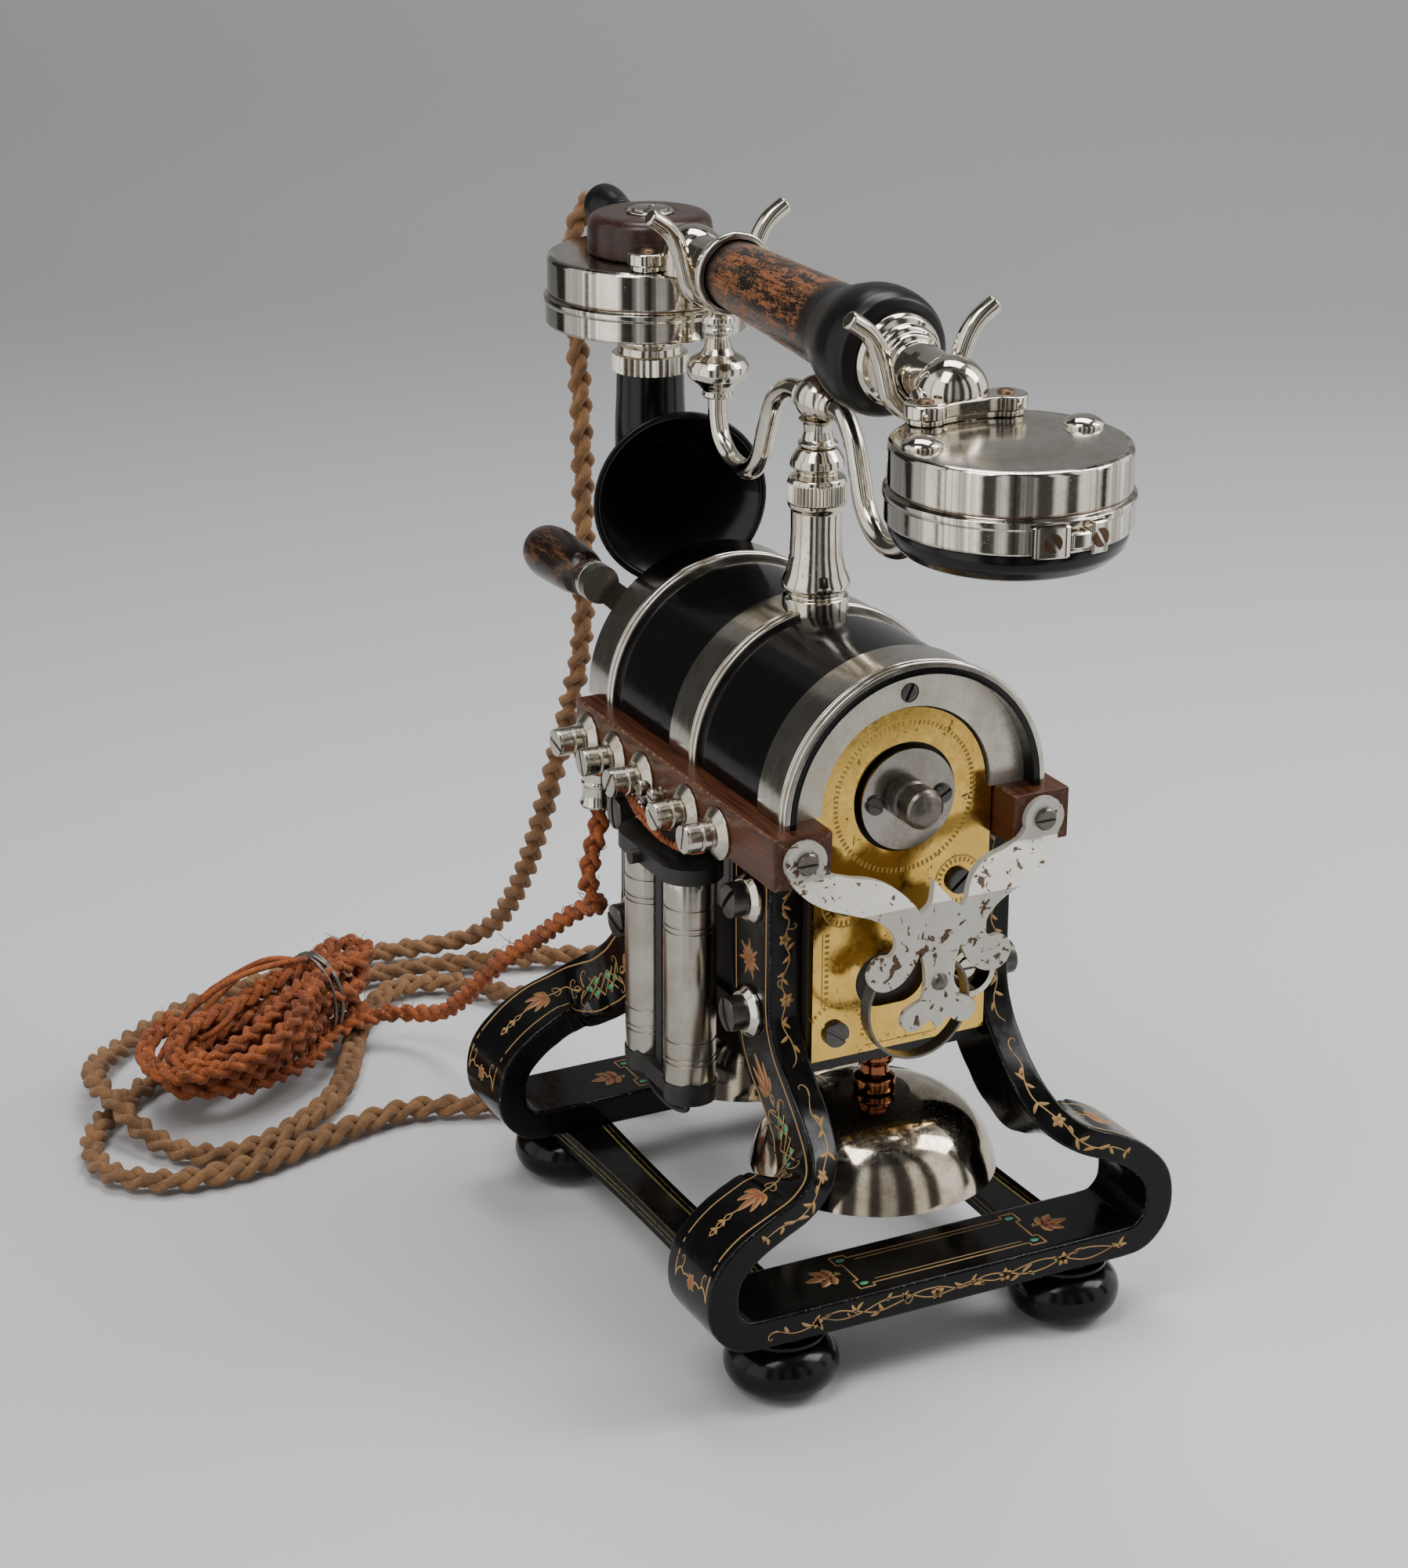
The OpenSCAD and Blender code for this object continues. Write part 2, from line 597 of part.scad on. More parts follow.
// The outer curve of a gong as shares of its radius and height
gong_curve = [[0.28, 1], [0.46, 0.94], [0.64, 0.84], [0.79, 0.68], [0.89, 0.48], [0.95, 0.27], [0.985, 0.1], [1, 0]];
module gong(side) translate([0, stand_y + side * gong_y, gong_rim_z]) turned(concat(
  [[3, gong_h - gong_wall], [3, gong_h]],
  [for (p = smooth(gong_curve, 2)) [p[0] * gong_r, p[1] * gong_h]],
  [for (p = reversed(smooth(gong_curve, 2))) [p[0] * (gong_r - gong_wall), p[1] * (gong_h - gong_wall)]]));

module gong_front() color("silver") gong(-1);
module gong_rear() color("silver") gong(1);

module gong_post(side) {
  top = generator_z - 4.5 - gong_top;
  translate([0, stand_y + side * gong_y, gong_top]) turned([
    [0, -gong_wall - 5], [2.9, -gong_wall - 5], [2.9, 0], [4.6, 0], [4.6, 1.6], [6.6, 2], [6.6, top * 0.3],
    [4.4, top * 0.38], [4.4, top * 0.6], [6.1, top * 0.66], [6.1, top * 0.82], [4.4, top * 0.86],
    [4.4, top], [0, top]]);
}

module gong_post_front() color("sienna") gong_post(-1);
module gong_post_rear() color("sienna") gong_post(1);

clapper_len = 30;
module clapper() color("silver") translate([0, stand_y, clapper_z]) {
  translate([-7, 0, 0]) rotate([0, 90, 0]) cylinder(r = clapper_pin_r, h = 14);
  translate([0, 0, -clapper_len]) {
    cylinder(r = 1.1, h = clapper_len);
    sphere(r = 3.2);
  }
}

// --- Induction coils ----------------------------------------------------------

coil_z = 72;
coil_top = 139.4;
yoke_t = 5;
module coil(y) translate([-coil_x, stand_y + y, coil_z]) {
  h = coil_top - coil_z;
  r = coil_r;
  turned([[0, 0], [r, 0], [r, 8], [r - 0.4, 8.6], [r, 9.2], [r, 15], [r - 0.4, 15.6], [r, 16.2],
    [r, h - 16], [r - 0.4, h - 15.4], [r, h - 14.8], [r, h - 9], [r - 0.4, h - 8.4], [r, h - 7.8], [r, h], [0, h]]);
}

module coils() color("silver") for (y = [-coil_y, coil_y]) coil(y);

// The black caps over and under the coils, the upright between them and the screw in front
module coil_yoke() color("black") {
  difference() {
    translate([0, stand_y, 0]) for (z = [coil_z - 6, coil_top]) translate([-coil_x, 0, z]) {
      for (y = [-coil_y, coil_y]) translate([0, y, 0]) cylinder(r = z > 100 ? 10 : 8, h = z > 100 ? yoke_t : 6);
      translate([z > 100 ? -10 : -6, -coil_y, 0]) cube([z > 100 ? 20 : 12, 2 * coil_y, z > 100 ? yoke_t : 6]);
    }
    translate([-inner_half, -90, 0]) cube([60, 180, 200]);
  }
  translate([-coil_x - 4, stand_y - 2, coil_z - 0.1]) cube([8, 4, coil_top - coil_z + 0.2]);
  translate([-coil_x, stand_y - 5, coil_top + yoke_t - 0.1]) cube([12, 10, rail_z - coil_top - yoke_t + 0.1]);
  translate([-coil_x - 13, stand_y + 1.3, coil_top + 2.4]) rotate([0, 90, 0]) cylinder(r = 2.2, h = 4);
}

// --- Terminals, leads and glands ----------------------------------------------

terminal_ys = [53.3, 33.8, 14.3, -16, -36.2];
terminal_z = rail_top - 10.2;
dish_r = 8;
module terminal() {
  r = terminal_r;
  l = terminal_len;
  difference() {
    turned([[0, 0], [dish_r, 0], [dish_r, 0.8], [r + 0.6, 2.6], [r + 0.6, 3.4], [r, 3.8], [r, l - 5.2], [r - 0.5, l - 5],
      [r - 0.5, l - 4.7], [r, l - 4.5], [r, l - 0.5], [r - 0.5, l], [0, l]]);
    translate([-r - 1, -0.6, l - 2]) cube([2 * r + 2, 1.2, 3]);
    translate([0, r + 1, 5.2]) rotate([90, 0, 0]) cylinder(r = 0.9, h = 2 * r + 2);
  }
}

module terminals() color("silver") {
  for (y = terminal_ys) translate([-inner_half - rail_w, stand_y + 3 + y, terminal_z]) rotate([0, -90, 0]) terminal();
  for (y = [8.9, 0.8]) translate([-inner_half - rail_w, stand_y + 3 + y, terminal_z - 1]) rotate([0, -90, 0])
    face_screw(2.6, 4.5);
}

// Three cloth-covered wires between the terminals, as points relative to a terminal's post
lead_out = inner_half + rail_w + 5.4;
function lead_path(y0, y1, sag, out) = smooth([
  [-lead_out, y0, terminal_z - terminal_r - 1.2],
  [-lead_out - out, mix(y0, y1, 0.2), terminal_z - terminal_r - 1.2 - sag * 0.6],
  [-lead_out - out, mix(y0, y1, 0.5), terminal_z - terminal_r - 1.2 - sag],
  [-lead_out - out * 0.6, mix(y0, y1, 0.8), terminal_z - terminal_r - 1.2 - sag * 0.7],
  [-lead_out, y1, terminal_z - terminal_r - 1.2]], 3);

module leads() color("chocolate") translate([0, stand_y + 3, 0]) {
  rod(lead_path(terminal_ys[0] - 1, terminal_ys[1] + 1, 3, 1), 1.1, 8, [1, 0, 0]);
  rod(lead_path(terminal_ys[2] - 1.3, terminal_ys[3] + 1, 3, 1), 1.1, 8, [1, 0, 0]);
  rod(lead_path(terminal_ys[2] + 1.3, terminal_ys[4] + 1, 8, 3), 1.1, 8, [1, 0, 0]);
}

gland_pos = [-47.5, 50];
gland_h = 16;
module cord_gland() color("silver") difference() {
  translate([gland_pos[0], gland_pos[1], rail_z - gland_h])
    turned([[0, 0.6], [4.4, 0.6], [4.4, 0], [5.4, 0], [5.8, 1], [5.2, 2.4], [5.2, gland_h - 3.5], [6, gland_h - 2],
      [6, gland_h], [0, gland_h]]);
  // The flange is trimmed under the dish of the terminal over it
  translate([-inner_half - rail_w + seat - 20, gland_pos[1] - 10, terminal_z - dish_r - 0.2]) cube([20, 20, 20]);
}

rear_gland_z = 100;
rear_gland_len = 8;
module rear_cord_gland() color("silver") translate([0, plate_y, rear_gland_z]) rotate([-90, 0, 0])
  turned([[0, 0], [6.5, 0], [6.5, 1.4], [4.8, 2], [4.8, rear_gland_len - 1], [4.4, rear_gland_len], [0, rear_gland_len]]);

// --- Ornament on the rails' front ends ----------------------------------------

orn_eye = 6.6;
orn_t = 2;
// Right half of the outline, from the top point round the arm to the foot's tip
orn_upper = smooth([[0, 151.6], [3, 147], [7, 143.9]], 2);
orn_arm = smooth([[7, 143.9], [9.5, 147.8], [13.4, 151.6], [19, 154.2], [26, 155.6], [31, 157.4], [33.6, 161]], 3);
orn_lower = smooth([[45.6, 161.4], [44.2, 156.6], [41, 152.4], [36, 149.6], [29.6, 147.6], [23.4, 145.4], [18.2, 142],
  [15.2, 138], [14.9, 134.4]], 3);
orn_curl = smooth([[14.9, 134.4], [16.6, 132.5], [19.8, 132.6], [22.6, 130.8], [23.8, 127.4], [22.6, 123.8],
  [19.4, 121.8], [15.8, 121.9], [12.2, 123.6], [9, 127.2], [6.6, 132]], 3);
orn_stem = smooth([[6.6, 132], [5, 126], [4.7, 120.4], [5.6, 116.6]], 2);
orn_lobe = smooth([[5.6, 116.4], [8.6, 115.2], [11.4, 113.4], [12.4, 110.6], [11, 108], [8, 107.2], [5.6, 108],
  [3.6, 109.7]], 3);
orn_parts = [orn_upper, orn_arm, orn_lower, orn_curl, orn_stem, orn_lobe];
// Each part without its last point, where the next part starts
orn_half = concat([for (part = orn_parts, i = [(part == orn_upper ? 1 : 0):len(part) - 2]) part[i]],
  [[3.6, 109.7], [2, 108.9]]);

rail_front = stand_y - 1 - rail_len / 2;
orn_step = 9;
module front_ornament() color("silver") intersection() {
  union() {
    plate_y(rail_front - orn_step - 4, rail_front)
      polygon(concat([orn_upper[0]], orn_half, [[0, 106.4]], reversed([for (p = orn_half) [-p[0], p[1]]])));
    for (s = [-1, 1]) translate([s * rail_x, 0, terminal_z + 2.4])
      bar_y(orn_eye, rail_front - orn_step - 4, rail_front);
  }
  // The bent sheet, seen from the side
  translate([-60, 0, 0]) rotate([90, 0, 90]) linear_extrude(120) polygon([
    [rail_front, 180], [rail_front, 156], [rail_front - orn_step, 146], [rail_front - orn_step, 100],
    [rail_front - orn_step - orn_t, 100], [rail_front - orn_step - orn_t, 146.6],
    [rail_front - orn_t, 156.6], [rail_front - orn_t, 180]]);
}

hoop_r = 17;
hoop_w = 4.6;
hoop_x = -5.5;
hoop_z = 114.2;
// The eye screws, the rivet and the sprung hoop behind the ornament
module spring_hoop() color("silver") {
  translate([hoop_x, rail_front - orn_step, hoop_z]) rotate([-90, 0, 0]) difference() {
    cylinder(r = hoop_r, h = hoop_w);
    translate([0, 0, -1]) cylinder(r = hoop_r - 0.8, h = hoop_w + 2);
  }
  for (s = [-1, 1]) translate([s * rail_x, rail_front - orn_t, terminal_z + 2.4]) rotate([90, 0, 0]) face_screw(3.4, 1.6);
  translate([0, rail_front - orn_step - orn_t, 121.4]) rotate([90, 0, 0])
    turned([[0, 0], [2.7, 0], [2.3, 0.9], [1.3, 1.5], [0, 1.7]]);
}

// --- Post and cradle ----------------------------------------------------------

stem_low = 250;
module post() color("silver") translate([0, post_y, 0]) difference() {
  r = post_r;
  f = post_foot_z;
  turned([[0, f - 4], [10, f - 4], [10, f + 2.4], [8.8, f + 3.2], [8.8, f + 4], [r + 2.6, f + 5.4], [r + 2.6, f + 7],
    [r + 1, f + 10.4], [r, f + 15], [r, 243], [r + 0.9, 244.4], [r + 1.2, 245.6], [r + 1.2, 251.6], [r + 0.7, 253],
    [r - 1.6, 254.4], [r - 1.6, 255], [r + 0.5, 256.4], [r + 0.2, 258.6], [r - 1.5, post_top - 0.6],
    [r - 2, post_top], [0, post_top]]);
  translate([0, 0, stem_low - 6]) cylinder(r = stem_r + running, h = 40);
  translate([0, -post_y, axis_z]) bar_y(band_r + 0.55, -40, 40);
}

ball_z = 276.6;
ball_r = 7.2;
// Distance from the middle and height along the rear arm and the front arm
arm_paths = [
  [[14.8, 275.5], [23.8, 270], [28.8, 260], [32.8, 250], [38.8, 244.5], [45.8, 243], [53.8, 244.5], [60, 249.4],
   [horn_y, 256]],
  [[19, 275], [25, 268.5], [28.6, 260], [32.4, 251], [38.2, 245.5], [46, 243.3], [54, 244.8], [60, 249.6],
   [horn_y, 256]]];

function horn_axis_z(side) = handset_z + side * horn_y * sin(handset_tilt);
// The baluster under a pair of horns
module baluster(side) {
  z = horn_axis_z(side) - neck_r - rod_r - rest_gap - rod_r;
  translate([0, side * horn_y, z]) turned([[0, -27], [4.6, -27], [5, -26], [4.4, -25], [6.4, -22.6], [9, -20.6],
    [9.8, -18.6], [9.8, -16.6], [8.6, -14.6], [5.6, -13], [4.2, -11], [3.8, -7], [4.9, -6], [4.9, -5], [5.4, -3],
    [4.6, -0.6], [3, 0.8], [0, 1.2]]);
}

// One horn: round the neck, then up and out
module horn(side, sx) {
  zc = horn_axis_z(side);
  ra = neck_r + rest_gap + rod_r;
  arc = [for (a = [-90:14:-20]) [sx * ra * cos(a), zc + ra * sin(a)]];
  path = smooth(concat(arc, [[sx * (ra + 2), zc + 6], [sx * (ra + 5.6), zc + 12.4], [sx * (ra + 12), zc + 17]]), 2);
  rod([for (p = path) [p[0], side * horn_y, p[1]]], rod_r * 0.95, 12, [0, 1, 0]);
}

module cradle() color("silver") {
  translate([0, post_y, 0]) {
    turned([[0, stem_low], [stem_r, stem_low], [stem_r, post_top + 0.3], [5.4, post_top + 0.3], [6.2, post_top + 1.4],
      [4.8, post_top + 2.6], [4.2, post_top + 5], [4.6, post_top + 7.4], [6, post_top + 8.6], [0, post_top + 8.6]]);
    translate([0, 0, ball_z]) sphere(r = ball_r);
    for (s = [-1, 1]) translate([0, 0, ball_z - 0.6]) rotate([-s * 90, 0, 0]) translate([0, 0, ball_r - 1.6])
      turned([[0, 0], [4.6, 0], [4.9, 0.9], [4.2, 1.8], [4.5, 2.8], [3.6, 4.2], [0, 4.2]]);
  }
  for (s = [-1, 1]) {
    drop = horn_axis_z(s) - horn_axis_z(1);
    start = [0, post_y + s * (ball_r + 1), ball_z - 0.6];
    rod(concat([start], smooth([for (p = arm_paths[s > 0 ? 0 : 1]) [0, s * p[0], p[1]]], 3)), rod_r, 12, [1, 0, 0]);
    translate([0, s * horn_y, 255]) cylinder(r = rod_r, h = horn_axis_z(s) - 41 - 255 + 1);
    baluster(s);
    for (sx = [-1, 1]) horn(s, sx);
  }
}

// --- Handset ------------------------------------------------------------------

module on_axis() translate([0, 0, handset_z]) rotate([handset_tilt - 90, 0, 0]) children();

// The ebonite bulb and the wooden grip, turned about the handset's axis, front to the left
module handset_grip() color("saddlebrown") on_axis() turned([
  [0, -48], [14, -48], [bulb_r * 0.9, -46.6], [bulb_r * 0.97, -44], [bulb_r, -40], [bulb_r, -36],
  [bulb_r * 0.96, -32], [bulb_r * 0.86, -26], [bulb_r * 0.74, -20.4], [13, -15], [12.7, -10], [12.1, 6],
  [11.4, 26], [10.7, 44], [10.3, 54], [0, 54]]);

elbow_y = 79;
lug_t = 6;
lug_y = 87;
block_r = 20;
lug_end = capsule_y - block_r - rest_gap;
// Nickel neck, rings and elbow at each end of the grip, and the lug on each capsule
module handset_fittings() color("silver") {
  on_axis() {
    turned([[0, -elbow_y], [7, -elbow_y], [7, -66], [neck_r, -65], [neck_r, -59], [9.4, -58.4], [9.8, -57], [9.4, -55.6],
      [10.6, -55], [11.4, -53.4], [10.8, -52], [12.6, -51.4], [13.6, -49.8], [13, -48.1], [0, -48.1]]);
    turned([[0, 54.1], [10.7, 54.1], [10.9, 50.2], [12.6, 50], [13.2, 50.8], [12.4, 54], [10.6, 57],
      [neck_r + 0.3, 59.4], [neck_r, 60], [neck_r, 65], [7, 66], [7, elbow_y], [0, elbow_y]]);
  }
  for (s = [-1, 1]) {
    cap_z = (s < 0 ? receiver_z : transmitter_z) + capsule_h;
    top = handset_z + s * elbow_y * sin(handset_tilt);
    translate([0, s * elbow_y, cap_z]) turned(concat([[0, 0.05], [9.6, 0.05], [9.6, top - cap_z - 1]],
      [for (a = [0:15:75]) [9.6 * cos(a), top - cap_z - 1 + 10 * sin(a)]], [[0, top - cap_z + 9]]));
    translate([0, 0, cap_z + 0.05]) linear_extrude(lug_t) {
      for (x = [-12.6, 12.6]) translate([x, s * lug_y]) circle(r = 6.2);
      translate([-12.6, min(s * (lug_y - 4.6), s * lug_end)]) square([25.2, lug_end - lug_y + 4.6]);
      translate([-9.6, min(s * elbow_y, s * lug_y)]) square([19.2, lug_y - elbow_y]);
    }
    for (x = [-12.6, 12.6]) translate([x, s * lug_y, cap_z + lug_t]) turned([[0, 0], [2.6, 0], [2.2, 0.7], [0, 1]]);
  }
}

// The stepped metal case that both capsules share
function case_profile(r, h) = [[0, 0], [r * 0.985, 0], [r, 1], [r, h * 0.3], [r - 0.8, h * 0.36], [r - 1.4, h * 0.42],
  [r - 1.6, h * 0.5], [r - 1.2, h * 0.52], [r - 2, h - 1.2], [r - 2.6, h - 0.3], [r - 3.6, h], [0, h]];

screw_r = 25.4;
module receiver() color("silver") translate([0, -capsule_y, receiver_z]) {
  turned(case_profile(capsule_r, capsule_h));
  for (a = [9, 171]) rotate(a) translate([screw_r, 0, capsule_h - 2])
    turned([[0, 0], [5.6, 0], [5.6, 2.3], [5, 3.2], [3.8, 4.2], [1.8, 4.8], [0, 5]]);
  translate([-8, -capsule_r - 2.8, 0.6]) cube([9, 6, 7.4]);
  translate([7, -capsule_r + 2, 4.2]) rotate([90, 0, 0]) cylinder(r = 2.4, h = 4.8);
}

module receiver_cap() color("black") translate([0, -capsule_y, receiver_z]) turned([[2.6, -0.05], [capsule_r - 1.8, -0.05],
  [capsule_r - 1.6, -2], [capsule_r - 2.6, -5], [capsule_r - 5.6, -8], [capsule_r - 9, -9.4], [capsule_r - 12, -9.2],
  [12, -5.6], [2.6, -4.4]]);

block_h = 13;
knob_up = 8.6;
knob_end = capsule_y + capsule_r + 2.8;
knob_z = transmitter_z + capsule_h + knob_up;
// The transmitter case, its wooden block and screw, the cord knob behind and the horn's neck
module transmitter() color("silver") {
  translate([0, capsule_y, transmitter_z]) {
    turned(case_profile(capsule_r, capsule_h));
    translate([0, 0, capsule_h]) turned([[0, 0], [block_r, 0], [block_r, block_h * 0.66], [block_r * 0.95, block_h * 0.86],
      [block_r * 0.84, block_h], [0, block_h]]);
    translate([0, 0, capsule_h + block_h]) face_screw(6.8, 1.6);
    translate([0, 0, -12.4]) turned([[0, 0], [8, 0], [8, 8.6], [10, 12.4], [0, 12.4]]);
  }
  translate([0, knob_end, knob_z]) rotate([90, 0, 0])
    turned([[0, 0], [4.6, 0], [6.2, 0.6], [7, 2.4], [6.9, 5.4], [5.8, 10], [4.4, 14], [4.2, 18], [0, 18]]);
}

// The horn: a straight throat, a bend and a flaring bell, hollow from its mouth
horn_bend = 20;
throat_len = 17;
bell_len = 15;
horn_top = transmitter_z - 12.7;
horn_dir = [-sin(mouth_turn), -cos(mouth_turn), 0];
function horn_point(s) = let (
    bend_len = horn_bend * PI / 2,
    a = min(max(s - throat_len, 0), bend_len) / bend_len * 90,
    down = min(s, throat_len) + horn_bend * sin(a),
    out = horn_bend * (1 - cos(a)) + max(s - throat_len - bend_len, 0))
  [0, capsule_y, horn_top] + horn_dir * out - [0, 0, down];
horn_len = throat_len + horn_bend * PI / 2 + bell_len;
function horn_r(u) = 10.8 + 1.2 * u + (mouth_r - 12) * pow(u, 3.4);
module mouthpiece() color("black") {
  steps = 16;
  inner = 11;
  outer = [for (i = [0:steps]) i / steps];
  us = concat(outer, [for (i = [steps:-1:inner - 6]) i / steps]);
  radii = [for (k = [0:len(us) - 1]) k <= steps ? horn_r(us[k]) : horn_r(us[k]) - 2.2];
  side = [cos(mouth_turn), -sin(mouth_turn), 0];
  skin([for (k = [0:len(us) - 1]) let (
      p = horn_point(us[k] * horn_len),
      q = horn_point(us[k] * horn_len + 0.01),
      t = unit(q - p), b = cross(t, side))
    [for (j = [0:23]) p + radii[k] * (cos(15 * j) * side + sin(15 * j) * b)]]);
  difference() {
    translate([0, capsule_y, horn_top]) turned([[0, -3], [9, -3], [9, 0], [11.4, 0.2], [11.6, 1], [11.6, 3.4],
      [11.2, 4.2], [8.3, 4.4], [8.3, 0.1], [0, 0.1]]);
  }
}

// --- Cords --------------------------------------------------------------------

floor_z = handset_cord_d / 2;
over_z = 11;
// From the knob down to the table, twice round, and up to the gland behind the generator
handset_route = [
  [-2, 154.5, 305], [-6, 157, 292], [-7, 154, 276], [-7, 151, 257], [-7, 149, 237], [-7, 148, 217],
  [-7, 148, 196], [-7, 148, 176], [-7, 150, 157], [-7, 156, 139], [-7, 165, 120], [-7, 174, 102], [-7, 183, 84],
  [-7, 193, 66], [-7, 204, 49], [-7, 217, 33], [-8, 231, 19], [-13, 245, 9], [-27, 254, 4.5], [-45, 258, 3.5],
  [-65, 257, 3.5], [-85, 254, 3.5], [-105, 250, 3.5], [-124, 243, 3.5], [-142, 232, 3.5], [-158, 219, 4],
  [-171, 203, 7], [-177, 184, 11], [-176, 166, 11], [-171, 149, 6], [-163, 135, 3.5], [-151, 126, 3.5],
  [-135, 128, 3.5], [-119, 137, 3.5], [-105, 148, 3.5], [-95, 161, 3.5], [-86, 177, 3.5], [-77, 195, 3.5],
  [-65, 212, 3.5], [-50, 225, 3.5], [-34, 224, 3.5], [-22, 212, 3.5], [-11, 198, 3.5], [6, 190, 3.5], [24, 190, 3.5],
  [36, 201, 3.5], [32, 216, 3.5], [18, 225, 3.5], [0, 231, 3.5], [-19, 236, 3.5], [-38, 239, 3.5], [-58, 240, 3.5],
  [-78, 238, 3.5], [-98, 231, 3.5], [-117, 221, 3.5], [-134, 208, 3.5], [-150, 194, 3.5], [-166, 181, 3.5],
  [-180, 167, 3.5], [-189, 150, 3.5], [-189, 131, 3.5], [-177, 118, 3.5], [-160, 114, 3.5], [-142, 115, 3.5],
  [-123, 121, 3.5], [-103, 127, 3.5], [-83, 130, 3.5], [-64, 124, 3.5], [-45, 115, 3.5], [-26, 107, 3.5],
  [-8, 104, 8], [4, 102, 24], [6, 99, 43], [5, 95, 62], [3, 89, 81], [1, 77, 97.5]];

module handset_cord() color("peru") {
  gland_end = plate_y + rear_gland_len;
  path = concat([[0, knob_end + 0.1, knob_z], [0, knob_end + 3, knob_z]], handset_route,
    [[0, gland_end + 3, rear_gland_z], [0, gland_end + 0.1, rear_gland_z]]);
  rod(path, handset_cord_d / 2, 8, [1, 0, 0]);
}

// The hank: layers of long loops, drawn in at the waist
hank_mid = [-110, 184];
hank_turn = 32;
hank_a = 53;
hank_b = 21;
hank_waist = 3.4;
hank_step = 8.3;
hank_layers = 4;
layer_turns = 1.5;
layer_pitch = line_cord_d + 0.55;
hank_z = handset_cord_d + 0.5 + line_cord_d / 2;
hank_start = 58;
hank_steps = 24;

// Turns wound so far, the inward offset and the layer at a share of the winding
function hank_offset(n) = let (
    cycle = layer_turns + 0.5,
    layer = floor(n / cycle),
    within = n - layer * cycle,
    wound = min(within, layer_turns) * hank_step)
  layer % 2 == 0 ? wound : layer_turns * hank_step - wound;
function hank_height(n) = let (
    cycle = layer_turns + 0.5,
    layer = floor(n / cycle),
    climb = max(0, n - layer * cycle - layer_turns) / 0.5)
  hank_z + layer_pitch * (layer + (1 - cos(180 * climb)) / 2);
function hank_point(n) = let (
    a = -hank_start - 360 * n,
    off = hank_offset(n),
    x = (hank_a - off) * cos(a),
    y = (hank_b - off) * sin(a) - hank_waist * sin(a) * pow(abs(sin(a)), 5))
  [hank_mid[0] + x * cos(hank_turn) - y * sin(hank_turn),
   hank_mid[1] + x * sin(hank_turn) + y * cos(hank_turn), hank_height(n)];
hank_turns = hank_layers * layer_turns + (hank_layers - 1) * 0.5;
hank_loops = [for (i = [0:hank_turns * hank_steps]) hank_point(i / hank_steps)];
lead_in = unit(hank_loops[0] - hank_loops[1]);
lead_out_dir = unit(hank_loops[len(hank_loops) - 1] - hank_loops[len(hank_loops) - 2]);
hank_path = concat([hank_loops[0] + lead_in * line_cord_d], hank_loops,
  [hank_loops[len(hank_loops) - 1] + lead_out_dir * line_cord_d]);

// The least gap between turns, on points more than a third of a turn apart
hank_gap = min([for (i = [0:len(hank_path) - 1], j = [i + 8:1:len(hank_path) - 1])
  norm(hank_path[i] - hank_path[j])]) - line_cord_d;
echo(hank_gap = hank_gap);

module line_cord_hank() color("chocolate") rod(hank_path, line_cord_d / 2, 6, [0, 0, 1]);

line_route = [[-47.5, 50, 131], [-49.5, 51, 121], [-50, 52.5, 111], [-46.5, 55.5, 102.5], [-43, 62, 98], [-44, 72, 93],
  [-46, 83, 85], [-47, 95, 76], [-48, 109, 66], [-50, 125, 54], [-51, 141, 41], [-52, 157, 27], [-54, 171, 17], [-58, 183, 12.5],
  [-65, 190, 11]];

module line_cord() color("chocolate") {
  join = hank_path[0];
  path = concat([[gland_pos[0], gland_pos[1], rail_z - gland_h + 0.55]], line_route,
    [join + lead_in * line_cord_d, join + lead_in * 0.05]);
  rod(path, line_cord_d / 2, 8, [1, 0, 0]);
}

foot_front_left();
foot_front_right();
foot_rear_left();
foot_rear_right();
strap_left();
strap_right();
frame_front();
frame_rear();
rail_left();
rail_right();
barrel_cover();
band_front();
band_middle();
band_rear();
end_ring_front();
end_ring_rear();
casting_front();
casting_rear();
bearing_plate_front();
bearing_plate_rear();
bearing_disc_front();
bearing_disc_rear();
plate_screws();
ringer_bush();
magnets();
pole_left();
pole_right();
base_plate();
armature();
crank_shaft();
crank_arm();
crank_handle();
gong_front();
gong_rear();
gong_post_front();
gong_post_rear();
clapper();
coils();
coil_yoke();
leg_screws();
terminals();
leads();
cord_gland();
rear_cord_gland();
front_ornament();
spring_hoop();
post();
cradle();
handset_grip();
handset_fittings();
receiver();
receiver_cap();
transmitter();
mouthpiece();
handset_cord();
line_cord();
line_cord_hank();
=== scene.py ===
import bpy, json, math
import numpy as np
from mathutils import Matrix, Vector


